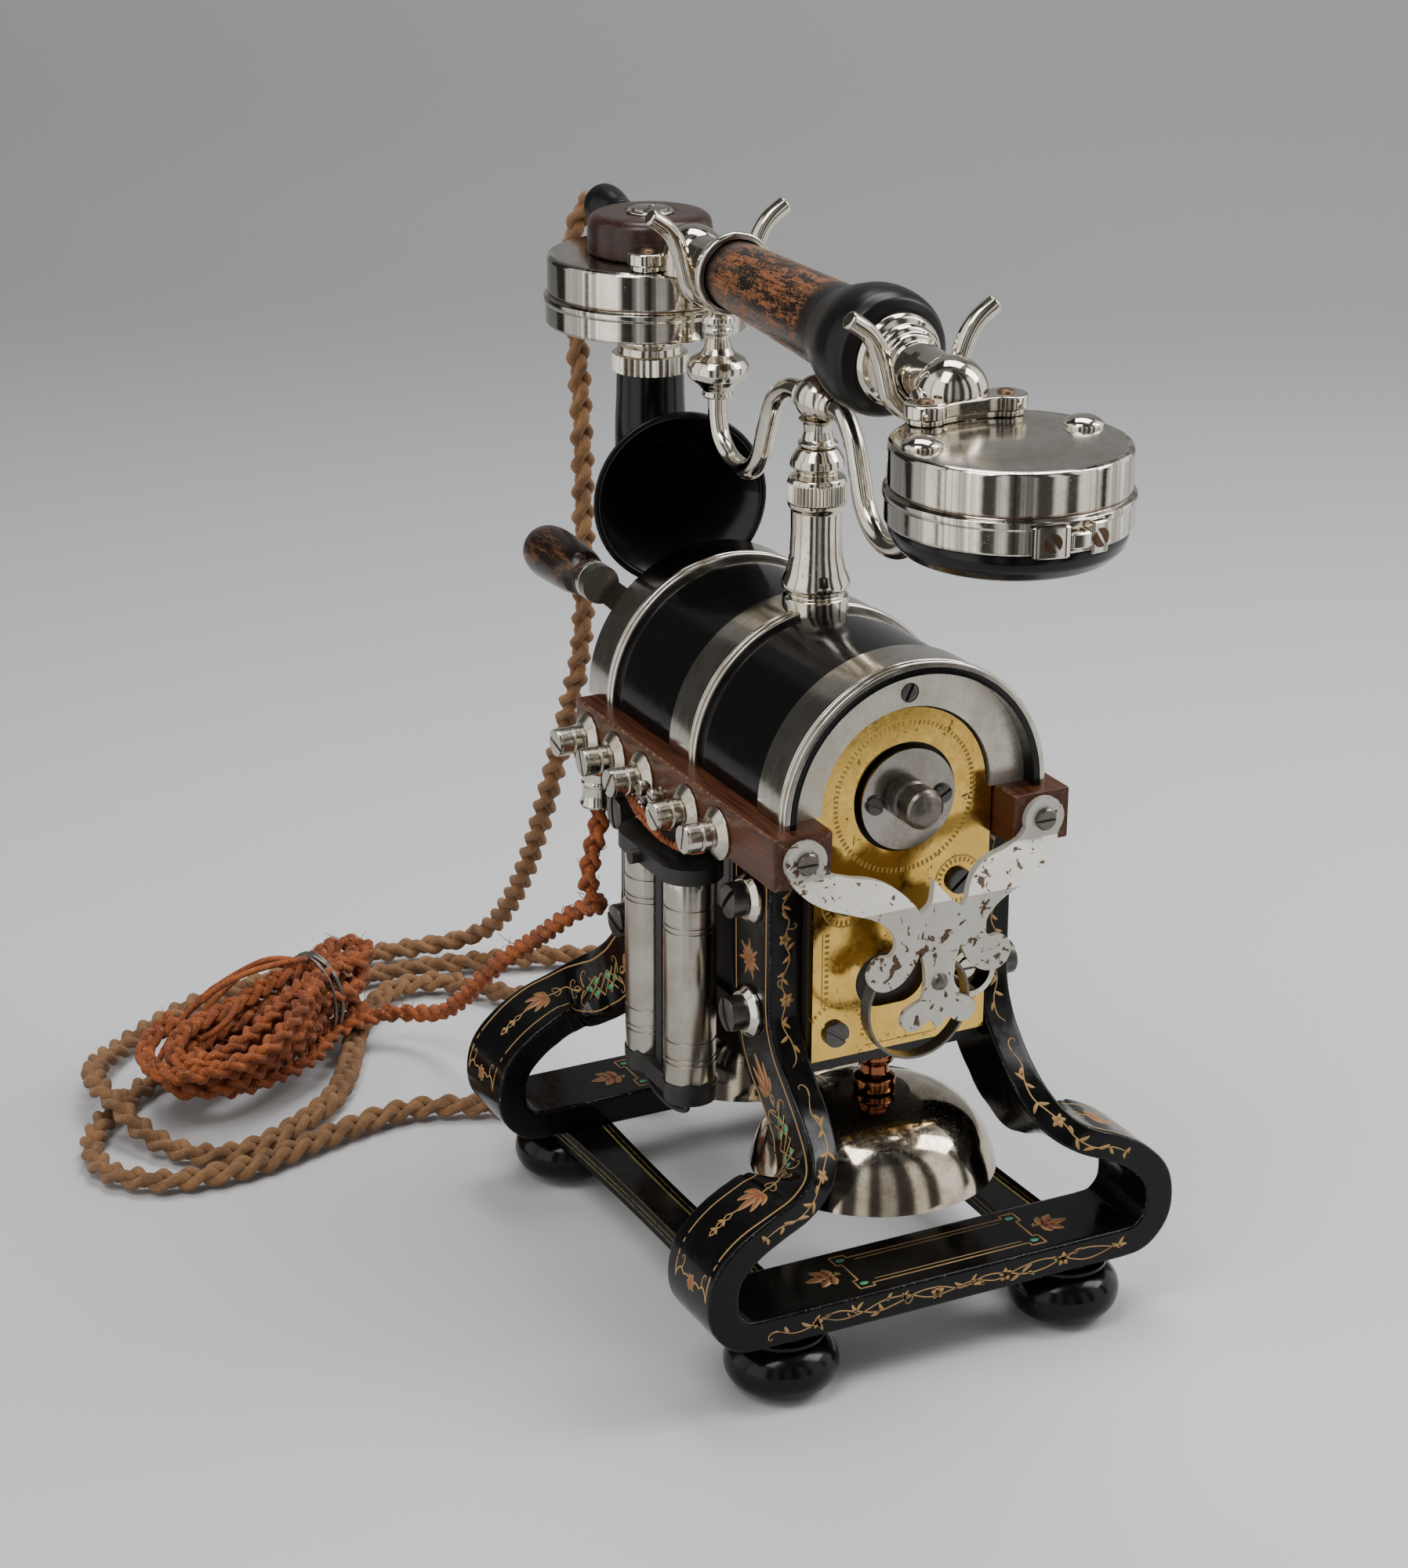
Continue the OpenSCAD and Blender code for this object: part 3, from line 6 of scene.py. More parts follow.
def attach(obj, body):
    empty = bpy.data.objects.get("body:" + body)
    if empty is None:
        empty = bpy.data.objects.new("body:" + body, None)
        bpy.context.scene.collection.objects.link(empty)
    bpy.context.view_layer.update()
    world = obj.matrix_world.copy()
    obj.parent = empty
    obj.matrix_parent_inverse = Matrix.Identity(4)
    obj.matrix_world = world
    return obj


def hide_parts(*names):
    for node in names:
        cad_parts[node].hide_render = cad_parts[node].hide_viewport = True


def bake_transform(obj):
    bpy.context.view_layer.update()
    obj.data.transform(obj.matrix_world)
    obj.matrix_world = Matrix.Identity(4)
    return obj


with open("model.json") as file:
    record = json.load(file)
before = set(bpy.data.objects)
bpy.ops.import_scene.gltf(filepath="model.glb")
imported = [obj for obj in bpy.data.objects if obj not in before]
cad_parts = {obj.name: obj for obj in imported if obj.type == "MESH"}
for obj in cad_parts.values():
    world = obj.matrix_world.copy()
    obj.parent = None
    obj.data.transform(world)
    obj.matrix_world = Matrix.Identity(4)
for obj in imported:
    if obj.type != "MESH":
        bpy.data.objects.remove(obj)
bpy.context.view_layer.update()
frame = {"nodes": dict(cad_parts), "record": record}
NODES = frame["nodes"]

# The sizes of the frame that the pieces share, in millimetres
STAND_Y, AXIS_Z, RAIL_Z = -3.0, 171.0, 154.0
FOOT_X, FOOT_Y = 49.1, 76.5
TERMINAL_X, TERMINAL_Z, TERMINAL_YS = -49.0, AXIS_Z - 11.2, (53.3, 33.8, 14.3, -16, -36.2)
CAP_Y, RECEIVER_Z, TRANSMITTER_Z, CAP_H, CAP_R = 110.3, 268.4658, 275.4658, 22.3, 34.2
CAPSULES = ((-CAP_Y, RECEIVER_Z), (CAP_Y, TRANSMITTER_Z))
HAND_Z, TILT = 300.5, math.radians(2.2)
KNOB_END = CAP_Y + CAP_R + 2.8
KNOB_Z = TRANSMITTER_Z + CAP_H + 8.6
ENDS = ((-1, "front"), (1, "rear"))
SIDES = ((-1, "left"), (1, "right"))
VIEW_TURN = -27.285             # the camera's bearing, which the floor faces too


# --- Camera and light ---------------------------------------------------------

def add(name, data):
    obj = bpy.data.objects.new(name, data)
    bpy.context.scene.collection.objects.link(obj)
    return obj


def camera():
    az, el, roll = (math.radians(a) for a in (VIEW_TURN, 20.935, 0.443))
    height, focus, shift = 2000, 4355.76, (-42.719, -15.183)    # in pixels
    back = Vector((math.sin(az) * math.cos(el), -math.cos(az) * math.cos(el), math.sin(el)))
    right = (-back).cross(Vector((0, 0, 1))).normalized()
    up = right.cross(-back)
    r = right * math.cos(roll) + up * math.sin(roll)
    u = up * math.cos(roll) - right * math.sin(roll)
    place = Vector((-0.023042, 0.002127, 0.161347)) + back * 1.036296
    data = bpy.data.cameras.new("camera")
    data.sensor_fit, data.sensor_height = "VERTICAL", 36
    data.lens = focus / height * 36
    data.shift_x, data.shift_y = (s / height for s in shift)
    data.clip_start, data.clip_end = 0.02, 30
    cam = add("camera", data)
    cam.matrix_world = Matrix((*zip(r, u, back, place), (0, 0, 0, 1)))
    bpy.context.scene.camera = cam


def softbox(name, place, aim, size, power):
    data = bpy.data.lights.new(name, "AREA")
    data.shape, data.energy = "RECTANGLE", power
    data.size, data.size_y = size
    way = Vector(aim) - Vector(place)
    add(name, data).matrix_world = Matrix.Translation(place) @ way.to_track_quat("-Z", "Y").to_matrix().to_4x4()


# --- Curves and meshes --------------------------------------------------------
# A shape is a tuple of points in millimetres, faces and UVs.

def unit(v):
    return v / np.linalg.norm(v, axis=-1, keepdims=True)


def circle(n):
    return np.linspace(0, 2 * np.pi, n, endpoint=False)


def blend(a, b, t):
    return a + (b - a) * t


def lengths(path):
    """The distance along the path at each point."""
    return np.concatenate([[0], np.cumsum(np.linalg.norm(np.diff(path, axis=0), axis=1))])


def smooth(points, n):
    """A Catmull-Rom curve through the points, with n steps between neighbours."""
    p = np.array(points, float)
    out = []
    for i in range(len(p) - 1):
        a, b, c, d = p[max(i - 1, 0)], p[i], p[i + 1], p[min(i + 2, len(p) - 1)]
        for t in np.arange(n) / n:
            out.append(0.5 * (2 * b + (c - a) * t + (2 * a - 5 * b + 4 * c - d) * t * t
                              + (3 * b - a - 3 * c + d) * t ** 3))
    return np.array(out + [p[-1]])


def curved(points, n):
    return [tuple(p) for p in smooth(points, n)]


def evenly(path, step):
    """The path with points a step apart, and the distance along it at each."""
    s = lengths(path)
    along = np.linspace(0, s[-1], max(2, int(round(s[-1] / step)) + 1))
    return np.stack([np.interp(along, s, column) for column in path.T], 1), along


def tangents(path):
    return unit(np.gradient(path, axis=0))


def side_frames(path, first):
    """Two side vectors at each point, carried along without twist."""
    t, sides = tangents(path), []
    s = np.array(first, float)
    for way in t:
        s = unit(s - way * (s @ way))
        sides.append(s)
    return t, np.array(sides), np.cross(t, sides)


def level_frames(path):
    """Side vectors that keep the first one level, as a flat plait lies."""
    t = tangents(path)
    side = np.cross(t, (0, 0, 1.0))
    flat = np.linalg.norm(side, axis=1) > 0.35
    last = side[np.argmax(flat)]
    out = []
    for k, way in enumerate(t):
        want = side[k] if flat[k] else last
        if want @ last < 0:
            want = -want
        last = 0.88 * last + 0.12 * unit(want)
        last = unit(last - way * (last @ way))
        out.append(last)
    return t, np.array(out), np.cross(t, out)


def join_parts(parts):
    """One shape from several."""
    faces, base = [], 0
    for v, f, _ in parts:
        faces += [[i + base for i in face] for face in f]
        base += len(v)
    uvs = [u for _, _, u in parts if u is not None]
    return np.concatenate([v for v, _, _ in parts]), faces, np.concatenate(uvs) if uvs else None


def weigh(obj):
    """Shades flat faces flat and lets only the small roundings between them curve."""
    mod = obj.modifiers.new("weighted_normals", "WEIGHTED_NORMAL")
    mod.mode, mod.weight, mod.keep_sharp = "FACE_AREA", 50, True


def piece(name, parts, looks, *stands_for, body="stand", sharp=35, face_looks=None):
    """An object from shapes, smooth up to an angle, with one material or one for each face."""
    verts, faces, uvs = join_parts(parts)
    mesh = bpy.data.meshes.new(name)
    mesh.from_pydata([tuple(v) for v in verts * 0.001], [], [tuple(int(i) for i in f) for f in faces])
    if uvs is not None:
        order = np.zeros(len(mesh.loops), int)
        mesh.loops.foreach_get("vertex_index", order)
        mesh.uv_layers.new(name="UVMap").data.foreach_set("uv", uvs[order].ravel())
    mesh.polygons.foreach_set("use_smooth", [True] * len(mesh.polygons))
    if sharp:
        mesh.set_sharp_from_angle(angle=math.radians(sharp))
    for look in [looks] if isinstance(looks, str) else looks:
        mesh.materials.append(M[look])
    if face_looks is not None:
        mesh.polygons.foreach_set("material_index", face_looks)
    obj = add(name, mesh)
    if sharp:
        weigh(obj)
    if body:
        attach(obj, body)
    if stands_for:
        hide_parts(*stands_for)
    return obj


def grid(rings, closed=True, caps=False, uv=None):
    """A shape over rings of points; the last column repeats the first so that UVs close."""
    rings = np.asarray(rings)
    n, m = rings.shape[:2]
    if closed:
        rings = np.concatenate([rings, rings[:, :1]], 1)
        m += 1
    idx = np.arange(n * m).reshape(n, m)
    faces = [[idx[i, j], idx[i, j + 1], idx[i + 1, j + 1], idx[i + 1, j]]
             for i in range(n - 1) for j in range(m - 1)]
    if uv is None:
        uv = np.stack(np.meshgrid(np.linspace(0, 1, n), np.linspace(0, 1, m), indexing="ij"), 2)
    elif closed and uv.shape[1] < m:
        uv = np.concatenate([uv, uv[:, :1]], 1)
    verts, uv = rings.reshape(-1, 3), uv.reshape(-1, 2)
    for row, flip in ((0, True), (n - 1, False)) if caps else ():
        ring, k = idx[row, :-1] if closed else idx[row], len(verts)
        verts = np.concatenate([verts, [verts[ring].mean(0)]])
        uv = np.concatenate([uv, [uv[ring].mean(0)]])
        for a, b in zip(ring, np.roll(ring, -1)):
            faces.append([k, b, a] if flip else [k, a, b])
    return verts, faces, uv


def tube(path, radius, sides=12, first=(0, 0, 1), frames=None):
    path = np.asarray(path, float)
    _, s, b = frames or side_frames(path, first)
    r = np.broadcast_to(np.asarray(radius, float), (len(path),))[:, None, None]
    a = circle(sides)[None, :, None]
    rings = path[:, None] + r * (np.cos(a) * s[:, None] + np.sin(a) * b[:, None])
    uv = np.stack(np.meshgrid(lengths(path), np.linspace(0, 1, sides + 1), indexing="ij"), 2)
    return grid(rings, True, True, uv)


def lathe(profile, where, sides=96, r=0):
    """A turned form about Z from (radius, height) points, rounded by r, then moved by a matrix."""
    p = np.array(rounded(profile, r) if r else profile, float)
    a = circle(sides)
    x, z = p[:, None, 0], p[:, None, 1]
    rings = np.stack([x * np.cos(a), x * np.sin(a), np.broadcast_to(z, (len(p), sides))], 2)
    uv = np.stack(np.meshgrid(lengths(p), np.linspace(0, 1, sides + 1), indexing="ij"), 2)
    return move(grid(rings, uv=uv), where)


def move(shape, m):
    m = np.array(m)
    return shape[0] @ m[:3, :3].T + m[:3, 3], *shape[1:]


def at(x, y, z, *turns):
    """A matrix: the turns as (angle in degrees, axis) in order, then the move."""
    m = Matrix.Identity(4)
    for angle, axis in turns:
        m = Matrix.Rotation(math.radians(angle), 4, axis) @ m
    return Matrix.Translation((x, y, z)) @ m


def rounded(profile, r, n=3):
    """The profile with its corners rounded."""
    p = [np.array(q, float) for q in profile]
    out = [p[0]]
    for a, b, c in zip(p, p[1:], p[2:]):
        u, v = a - b, c - b
        lu, lv = np.linalg.norm(u), np.linalg.norm(v)
        if lu < 1e-6 or lv < 1e-6:
            out.append(b)
            continue
        cut = min(r, lu * 0.45, lv * 0.45)
        s, e = b + u / lu * cut, b + v / lv * cut
        for t in np.arange(n + 1) / n:
            out.append((1 - t) ** 2 * s + 2 * t * (1 - t) * b + t * t * e)
    return out + [p[-1]]


# --- Materials ----------------------------------------------------------------

def operator(name, swapped=False):
    def apply(self, *other):
        return self.graph.math(name, *((*other, self) if swapped else (self, *other)))
    return apply


class Value:
    """A node's output that sums and products can be written with."""
    __add__ = __radd__ = operator("ADD")
    __mul__ = __rmul__ = operator("MULTIPLY")
    __sub__, __rsub__ = operator("SUBTRACT"), operator("SUBTRACT", True)
    __truediv__, __abs__ = operator("DIVIDE"), operator("ABSOLUTE")

    def __init__(self, graph, socket):
        self.graph, self.socket = graph, socket


class Graph:
    """The nodes of a material or a world. Places are in millimetres of the object's own coordinates."""

    def __init__(self, owner):
        owner.use_nodes = True
        self.owner, self.tree, self.place, self.base = owner, owner.node_tree, None, None

    def put(self, socket, value):
        if isinstance(value, Value):
            self.tree.links.new(value.socket, socket)
        else:
            socket.default_value = (*value, 1) if socket.type == "RGBA" else value

    def node(self, kind, *values, out=0, **named):
        """A node with values for its inputs in order, and by name; a name in lower case is a setting."""
        n = self.tree.nodes.new("ShaderNode" + kind)
        for k, v in named.items():
            if k[0].islower():
                setattr(n, k, v)
            else:
                self.put(n.inputs[k.replace("_", " ")], v)
        for socket, v in zip(n.inputs, values):
            if v is not None:
                self.put(socket, v)
        return Value(self, n.outputs[out])

    def mm(self):
        if self.place is None:
            self.place = self.node("VectorMath", self.node("TexCoord", out="Object"), operation="SCALE", Scale=1000.0)
        return self.place

    def split(self, vec):
        return [Value(self, s) for s in self.node("SeparateXYZ", vec).socket.node.outputs]

    def stretch(self, vec, scale):
        return self.node("VectorMath", vec, scale, operation="MULTIPLY")

    def noise(self, scale, detail=4, rough=0.6, vec=None, stretch=None, distortion=0.0):
        vec = vec or self.mm()
        return self.node("TexNoise", Vector=self.stretch(vec, stretch) if stretch else vec, Scale=float(scale),
                         Detail=float(detail), Roughness=float(rough), Distortion=float(distortion))

    def math(self, op, *values):
        return self.node("Math", *values, operation=op)

    def far(self, x, y):
        return self.math("SQRT", x * x + y * y)

    def step(self, value, lo, hi, a=0.0, b=1.0):
        """a below lo, b above hi, smooth between."""
        return self.node("MapRange", value, float(lo), float(hi), float(a), float(b),
                         interpolation_type="SMOOTHSTEP")

    def lerp(self, fac, a, b):
        return self.node("Mix", fac, None, a, b)

    def mix(self, fac, a, b):
        return self.node("Mix", fac, *[None] * 5, a, b, out=2, data_type="RGBA")

    def over(self, mask, colour):
        """Lays a colour over what the surface has so far."""
        self.base = self.mix(mask, self.base, colour)

    def bump(self, height, strength, depth, **below):
        """depth in millimetres."""
        return self.node("Bump", Height=height, Strength=strength, Distance=depth * 0.001, **below)

    def done(self, **inputs):
        shader = self.tree.nodes["Principled BSDF"]
        for k, v in {"Base_Color": self.base, **inputs}.items():
            self.put(shader.inputs[k.replace("_", " ")], v)
        return self.owner


def start(name, mask, a, b):
    """A material's graph, its base colour between two colours; the mask is made from the graph."""
    g = Graph(bpy.data.materials.new(name))
    g.base = g.mix(mask(g), a, b)
    return g


def scaled(colour, *k):
    return tuple(c * s for c, s in zip(colour, k if len(k) > 1 else k * 3))


def speckle(g, scale, lo, hi, patch=0.06, share=0.35):
    """Small spots that gather in patches."""
    return g.step(g.noise(scale, 5, 0.7, distortion=0.5) + g.noise(patch) * share, lo, hi)


def lacquer(name, scuffs):
    """Black japan under dust and grit."""
    g = start(name, lambda g: g.noise(0.09, 6, 0.7), (0.0022, 0.0022, 0.0025), (0.006, 0.0055, 0.0052))
    if scuffs:
        g.over(g.step(g.noise(0.9, 5, 0.75), 0.68, 0.80) * scuffs, (0.09, 0.08, 0.07))
    g.over(speckle(g, 1.5, 0.86, 0.90) * 0.35, (0.14, 0.13, 0.12))
    return g


def japan(name, dull=(0.10, 0.26)):
    """Black japan: deep gloss broken by dust, haze and rub marks."""
    g = lacquer(name, 0.10)
    return g.done(Roughness=g.lerp(g.step(g.noise(0.22, 6, 0.7), 0.3, 0.7), *dull), Specular_IOR_Level=0.22,
                  Normal=g.bump(g.noise(0.5), 0.10, 0.06))


def strip_japan(name, edge_wear_and_highlight=(0.17, 0.155, 0.13), reach=1.15, line=None):
    """Black japan with pale edges, partly rubbed and partly a painted edge highlight, and a gold line; the second UV
    value is the distance to the nearest edge.
    """
    g = lacquer(name, 0)
    _, edge, _ = g.split(g.node("UVMap"))
    # Pale edges: real rubbing plus a painted highlight along each edge
    wear_and_highlight = g.step(g.noise(0.75, 6, 0.8) * reach - reach * 0.36 - edge, 0.0, 0.22)
    g.over(wear_and_highlight, edge_wear_and_highlight)
    if line:
        gap, width, gold = line
        kept = g.step(g.noise(0.35, 6, 0.8), 0.36, 0.5)
        g.over(g.step(abs(edge - gap), width * 0.5, width, 1.0, 0.0) * kept, gold)
    rough = g.lerp(g.step(g.noise(0.2, 6, 0.7), 0.3, 0.7), 0.10, 0.28)
    return g.done(Roughness=g.lerp(wear_and_highlight, rough, 0.5), Specular_IOR_Level=0.19,
                  Normal=g.bump(g.noise(0.5), 0.10, 0.06))


def nickel(name, tint, stain, rough, freckle=0.0, pits=0.0, metal=1.0, brown=(0.16, 0.10, 0.05), brushed=None,
           painted_reflections=0.0):
    """Old nickel plate: warm, with cloudy tarnish, fine scratches and, where asked, brown pits and painted dark
    reflections up a capsule's wall.
    """
    g = Graph(bpy.data.materials.new(name))
    cloud, fine = g.noise(0.075, 6, 0.65), g.noise(0.8, 6, 0.75, stretch=brushed)
    g.base = g.mix(g.step(cloud * 0.88 + fine * 0.12, 0.42, 0.60) * stain, tint, scaled(tint, 0.62, 0.55, 0.44))
    r = g.lerp(g.step(fine, 0.35, 0.75) * g.step(cloud, 0.3, 0.6, 0.3, 1.0), *rough)
    if painted_reflections:
        # Painted dark reflections that run up the wall of a capsule, laid into the plate's colour
        x, y, _ = g.split(g.mm())
        y = abs(y) - CAP_Y
        out = g.far(x, y)
        reflection_bands = g.step(g.noise(2.2, 5, 0.78, g.node("CombineXYZ", x / out, y / out)), 0.46, 0.54)
        g.over(reflection_bands * g.step(out, 30.5, 31.5) * painted_reflections, scaled(tint, 0.35))
    if freckle:
        small = speckle(g, 1.1, 0.88 - freckle, 0.94 - freckle, 0.07, 0.42)
        g.over(small * 0.6, brown)
        r = r + small * 0.3
    if pits:
        hit = g.step(g.noise(0.27, 4, 0.62, distortion=0.6) + g.noise(0.05, 3, 0.5) * 0.35, 0.86 - pits, 0.875 - pits)
        g.over(hit, brown)
        r, metal = g.lerp(hit, r, 0.7), metal - hit * (metal * 0.8)
    return g.done(Metallic=metal, Roughness=r, Normal=g.bump(g.noise(0.6, stretch=brushed), 0.06, 0.05))


def wood(name, dark, light, along, rough, wear_and_highlight=None, edges=None):
    g = Graph(bpy.data.materials.new(name))
    v = g.stretch(g.mm(), along)
    bands = g.noise(0.55, 6, 0.62, v, distortion=1.2)
    pores = g.step(g.noise(0.55 * 7, 3, 0.7, v), 0.56, 0.72)
    g.base = g.mix(g.step(bands, 0.3, 0.7), dark, light)
    g.over(pores * 0.55, scaled(dark, 0.35))
    if wear_and_highlight:
        g.over(g.step(g.noise(0.16, 7, 0.85, v), 0.47, 0.57) * 0.85, wear_and_highlight)
    if edges:
        _, edge, _ = g.split(g.node("UVMap"))
        g.over(g.step(g.noise(0.6, 6, 0.8) * 2.2 - 0.75 - edge, 0.0, 0.4), edges)
    return g.done(Roughness=g.lerp(bands, *rough), Specular_IOR_Level=0.32, Normal=g.bump(pores, 0.10, 0.06))


def grip_wood(name):
    """Black lacquer rubbed through to orange wood along the grip."""
    g = Graph(bpy.data.materials.new(name))
    v = g.stretch(g.mm(), (1, 0.22, 1))
    lack = g.noise(0.42, 9, 0.80, v) * 0.62 + g.noise(1.5, 6, 0.78, stretch=(1, 0.55, 1)) * 0.38
    _, y, _ = g.split(g.mm())
    mid = g.step(y, -16, -8) * g.step(y, 36, 53, 1, 0)
    bare = g.step(lack, 0.485, 0.535) * g.step(mid, 0.1, 0.9, 0.06, 1.0)
    timber = g.mix(g.step(g.noise(0.9, 6, 0.7, v), 0.3, 0.7), (0.10, 0.031, 0.009), (0.27, 0.100, 0.032))
    g.base = g.mix(bare, (0.008, 0.006, 0.005), timber)
    return g.done(Roughness=g.lerp(bare, 0.26, 0.48), Normal=g.bump(lack, 0.5, 0.12))


def ebonite(name, rough=0.12):
    g = Graph(bpy.data.materials.new(name))
    haze = g.noise(0.12, 5, 0.7)
    g.base = g.mix(haze, (0.002, 0.002, 0.002), (0.0045, 0.004, 0.004))
    g.over(speckle(g, 1.2, 0.87, 0.92) * 0.3, (0.16, 0.14, 0.12))
    scratch = g.step(g.noise(1.5, 5, 0.8), 0.66, 0.75)
    return g.done(Specular_IOR_Level=0.26, Roughness=scratch * 0.12 + g.lerp(haze, rough, rough + 0.14))


def cloth(name, dark, light, fine, sheen, depth, flecks=None):
    """Braided cotton: the UV runs along each strand in mm and once around it."""
    g = Graph(bpy.data.materials.new(name))
    along, around, _ = g.split(g.node("UVMap"))
    a, b = along * (fine * 2 * math.pi), around * (12 * math.pi)
    weave = g.math("SINE", a + b) * g.math("SINE", a - b) * 0.5 + 0.5
    fuzz = g.noise(1.3, 6, 0.8)
    g.base = g.mix(g.step(g.noise(0.10, 6, 0.75) * 0.6 + fuzz * 0.4, 0.36, 0.64), dark, light)
    # Painted shade in the hollows of the weave, darkest where the bump is lowest
    g.over((1 - weave) * 0.35, scaled(dark, 0.5))
    if flecks:
        g.over(g.step(g.noise(0.9, 4, 0.7), 0.60, 0.68), flecks)
    return g.done(Roughness=0.85, Sheen_Weight=sheen, Sheen_Roughness=0.6,
                  Normal=g.bump(weave * 0.6 + fuzz * 0.8, 0.7, depth))


def brass_plate(name):
    """Polished brass with a lined and beaded border, rings round its screws and dark stains."""
    g = Graph(bpy.data.materials.new(name))
    x, _, z = g.split(g.mm())
    x = abs(x)

    def near(v, c, w=0.22):
        return g.step(abs(v - c), w * 0.6, w, 1.0, 0.0)

    def ridges(v, k):
        return g.step(g.math("SINE", v * k), -0.2, 0.5)

    def rope(cx, cz, radius, turns, width=0.9):
        """A roped ring round a point, and the distance from the point."""
        dx, dz = x - cx, z - cz
        r = g.far(dx, dz)
        return near(r, radius, width) * ridges(g.math("ARCTAN2", dz, dx), turns), r

    def most(first, *rest):
        return g.math("MAXIMUM", first, most(*rest)) if rest else first

    head = rope(0.0, AXIS_Z, 22.9, 92.0)[0] * g.step(z - AXIS_Z, -26.0, -24.5)
    eye, eye_r = rope(19.0, 141.3, 6.6, 26.0)
    curve = rope(21.6, 99.6, 9.4, 34.0, 0.8)[0] * g.step(z, 96.0, 97.0)
    sides = most(near(x, 24.8, 0.8) * ridges(z, 3.4), near(x, 26.3))
    sides = sides * (g.step(z, 133.0, 131.5) * g.step(z, 108.0, 109.5))
    foot = near(z, 93.6) * g.step(x, 12.0, 11.0)
    etch = most(head, sides, eye, near(eye_r, 7.8), curve, foot)
    spots = speckle(g, 0.55, 0.84, 0.88, 0.07, 0.4)
    g.base = g.mix(g.step(g.noise(0.06, 6, 0.7), 0.35, 0.7), (0.76, 0.50, 0.125), (0.60, 0.37, 0.085))
    g.over(g.step(g.noise(0.16, 6, 0.7), 0.60, 0.70) * 0.30, (0.30, 0.17, 0.05))
    g.over(spots * 0.85, (0.05, 0.03, 0.012))
    g.over(etch * 0.6, (0.22, 0.13, 0.04))
    rough = g.lerp(g.step(g.noise(0.5, 6, 0.75), 0.35, 0.7), 0.08, 0.22)
    return g.done(Metallic=1.0, Roughness=g.lerp(most(etch, spots), rough, 0.5),
                  Normal=g.bump(1 - etch, 0.5, 0.12, Normal=g.bump(g.noise(0.25, 5, 0.6), 0.10, 0.10)))


def dark_metal(name, tint=(0.09, 0.085, 0.08), rough=(0.2, 0.42)):
    g = start(name, lambda g: g.step(g.noise(0.7, 5, 0.75), 0.55, 0.7) * 0.6, tint, (0.07, 0.04, 0.025))
    return g.done(Metallic=0.9, Roughness=g.lerp(g.noise(0.9, 5, 0.7), *rough),
                  Normal=g.bump(g.noise(2.0, 4, 0.7), 0.2, 0.05))


def bell(name):
    """Nickelled bell: clouded and freckled, most of all towards its crown."""
    g = Graph(bpy.data.materials.new(name))
    _, _, z = g.split(g.mm())
    specks, cloud = g.noise(0.9, 8, 0.85), g.noise(0.07, 6, 0.65)
    dark = g.step(specks, 0.50, 0.62) * (g.step(z + cloud * 26.0, 58, 82) * 0.6 + 0.06)
    g.base = g.mix(g.step(cloud, 0.35, 0.65), (0.62, 0.555, 0.45), (0.40, 0.33, 0.23))
    g.over(dark, (0.07, 0.06, 0.045))
    return g.done(Metallic=1.0, Roughness=g.lerp(g.noise(0.3, 6, 0.75), 0.05, 0.13) + dark * 0.35,
                  Normal=g.bump(specks, 0.08, 0.04))


def plain(name, colour, rough, metal=0.0, vary=0.3, scale=0.3):
    g = start(name, lambda g: g.noise(scale, 6, 0.7), colour, scaled(colour, 1 - vary))
    return g.done(Roughness=g.lerp(g.noise(scale * 3, 4, 0.7), rough, rough + 0.15), Metallic=metal)


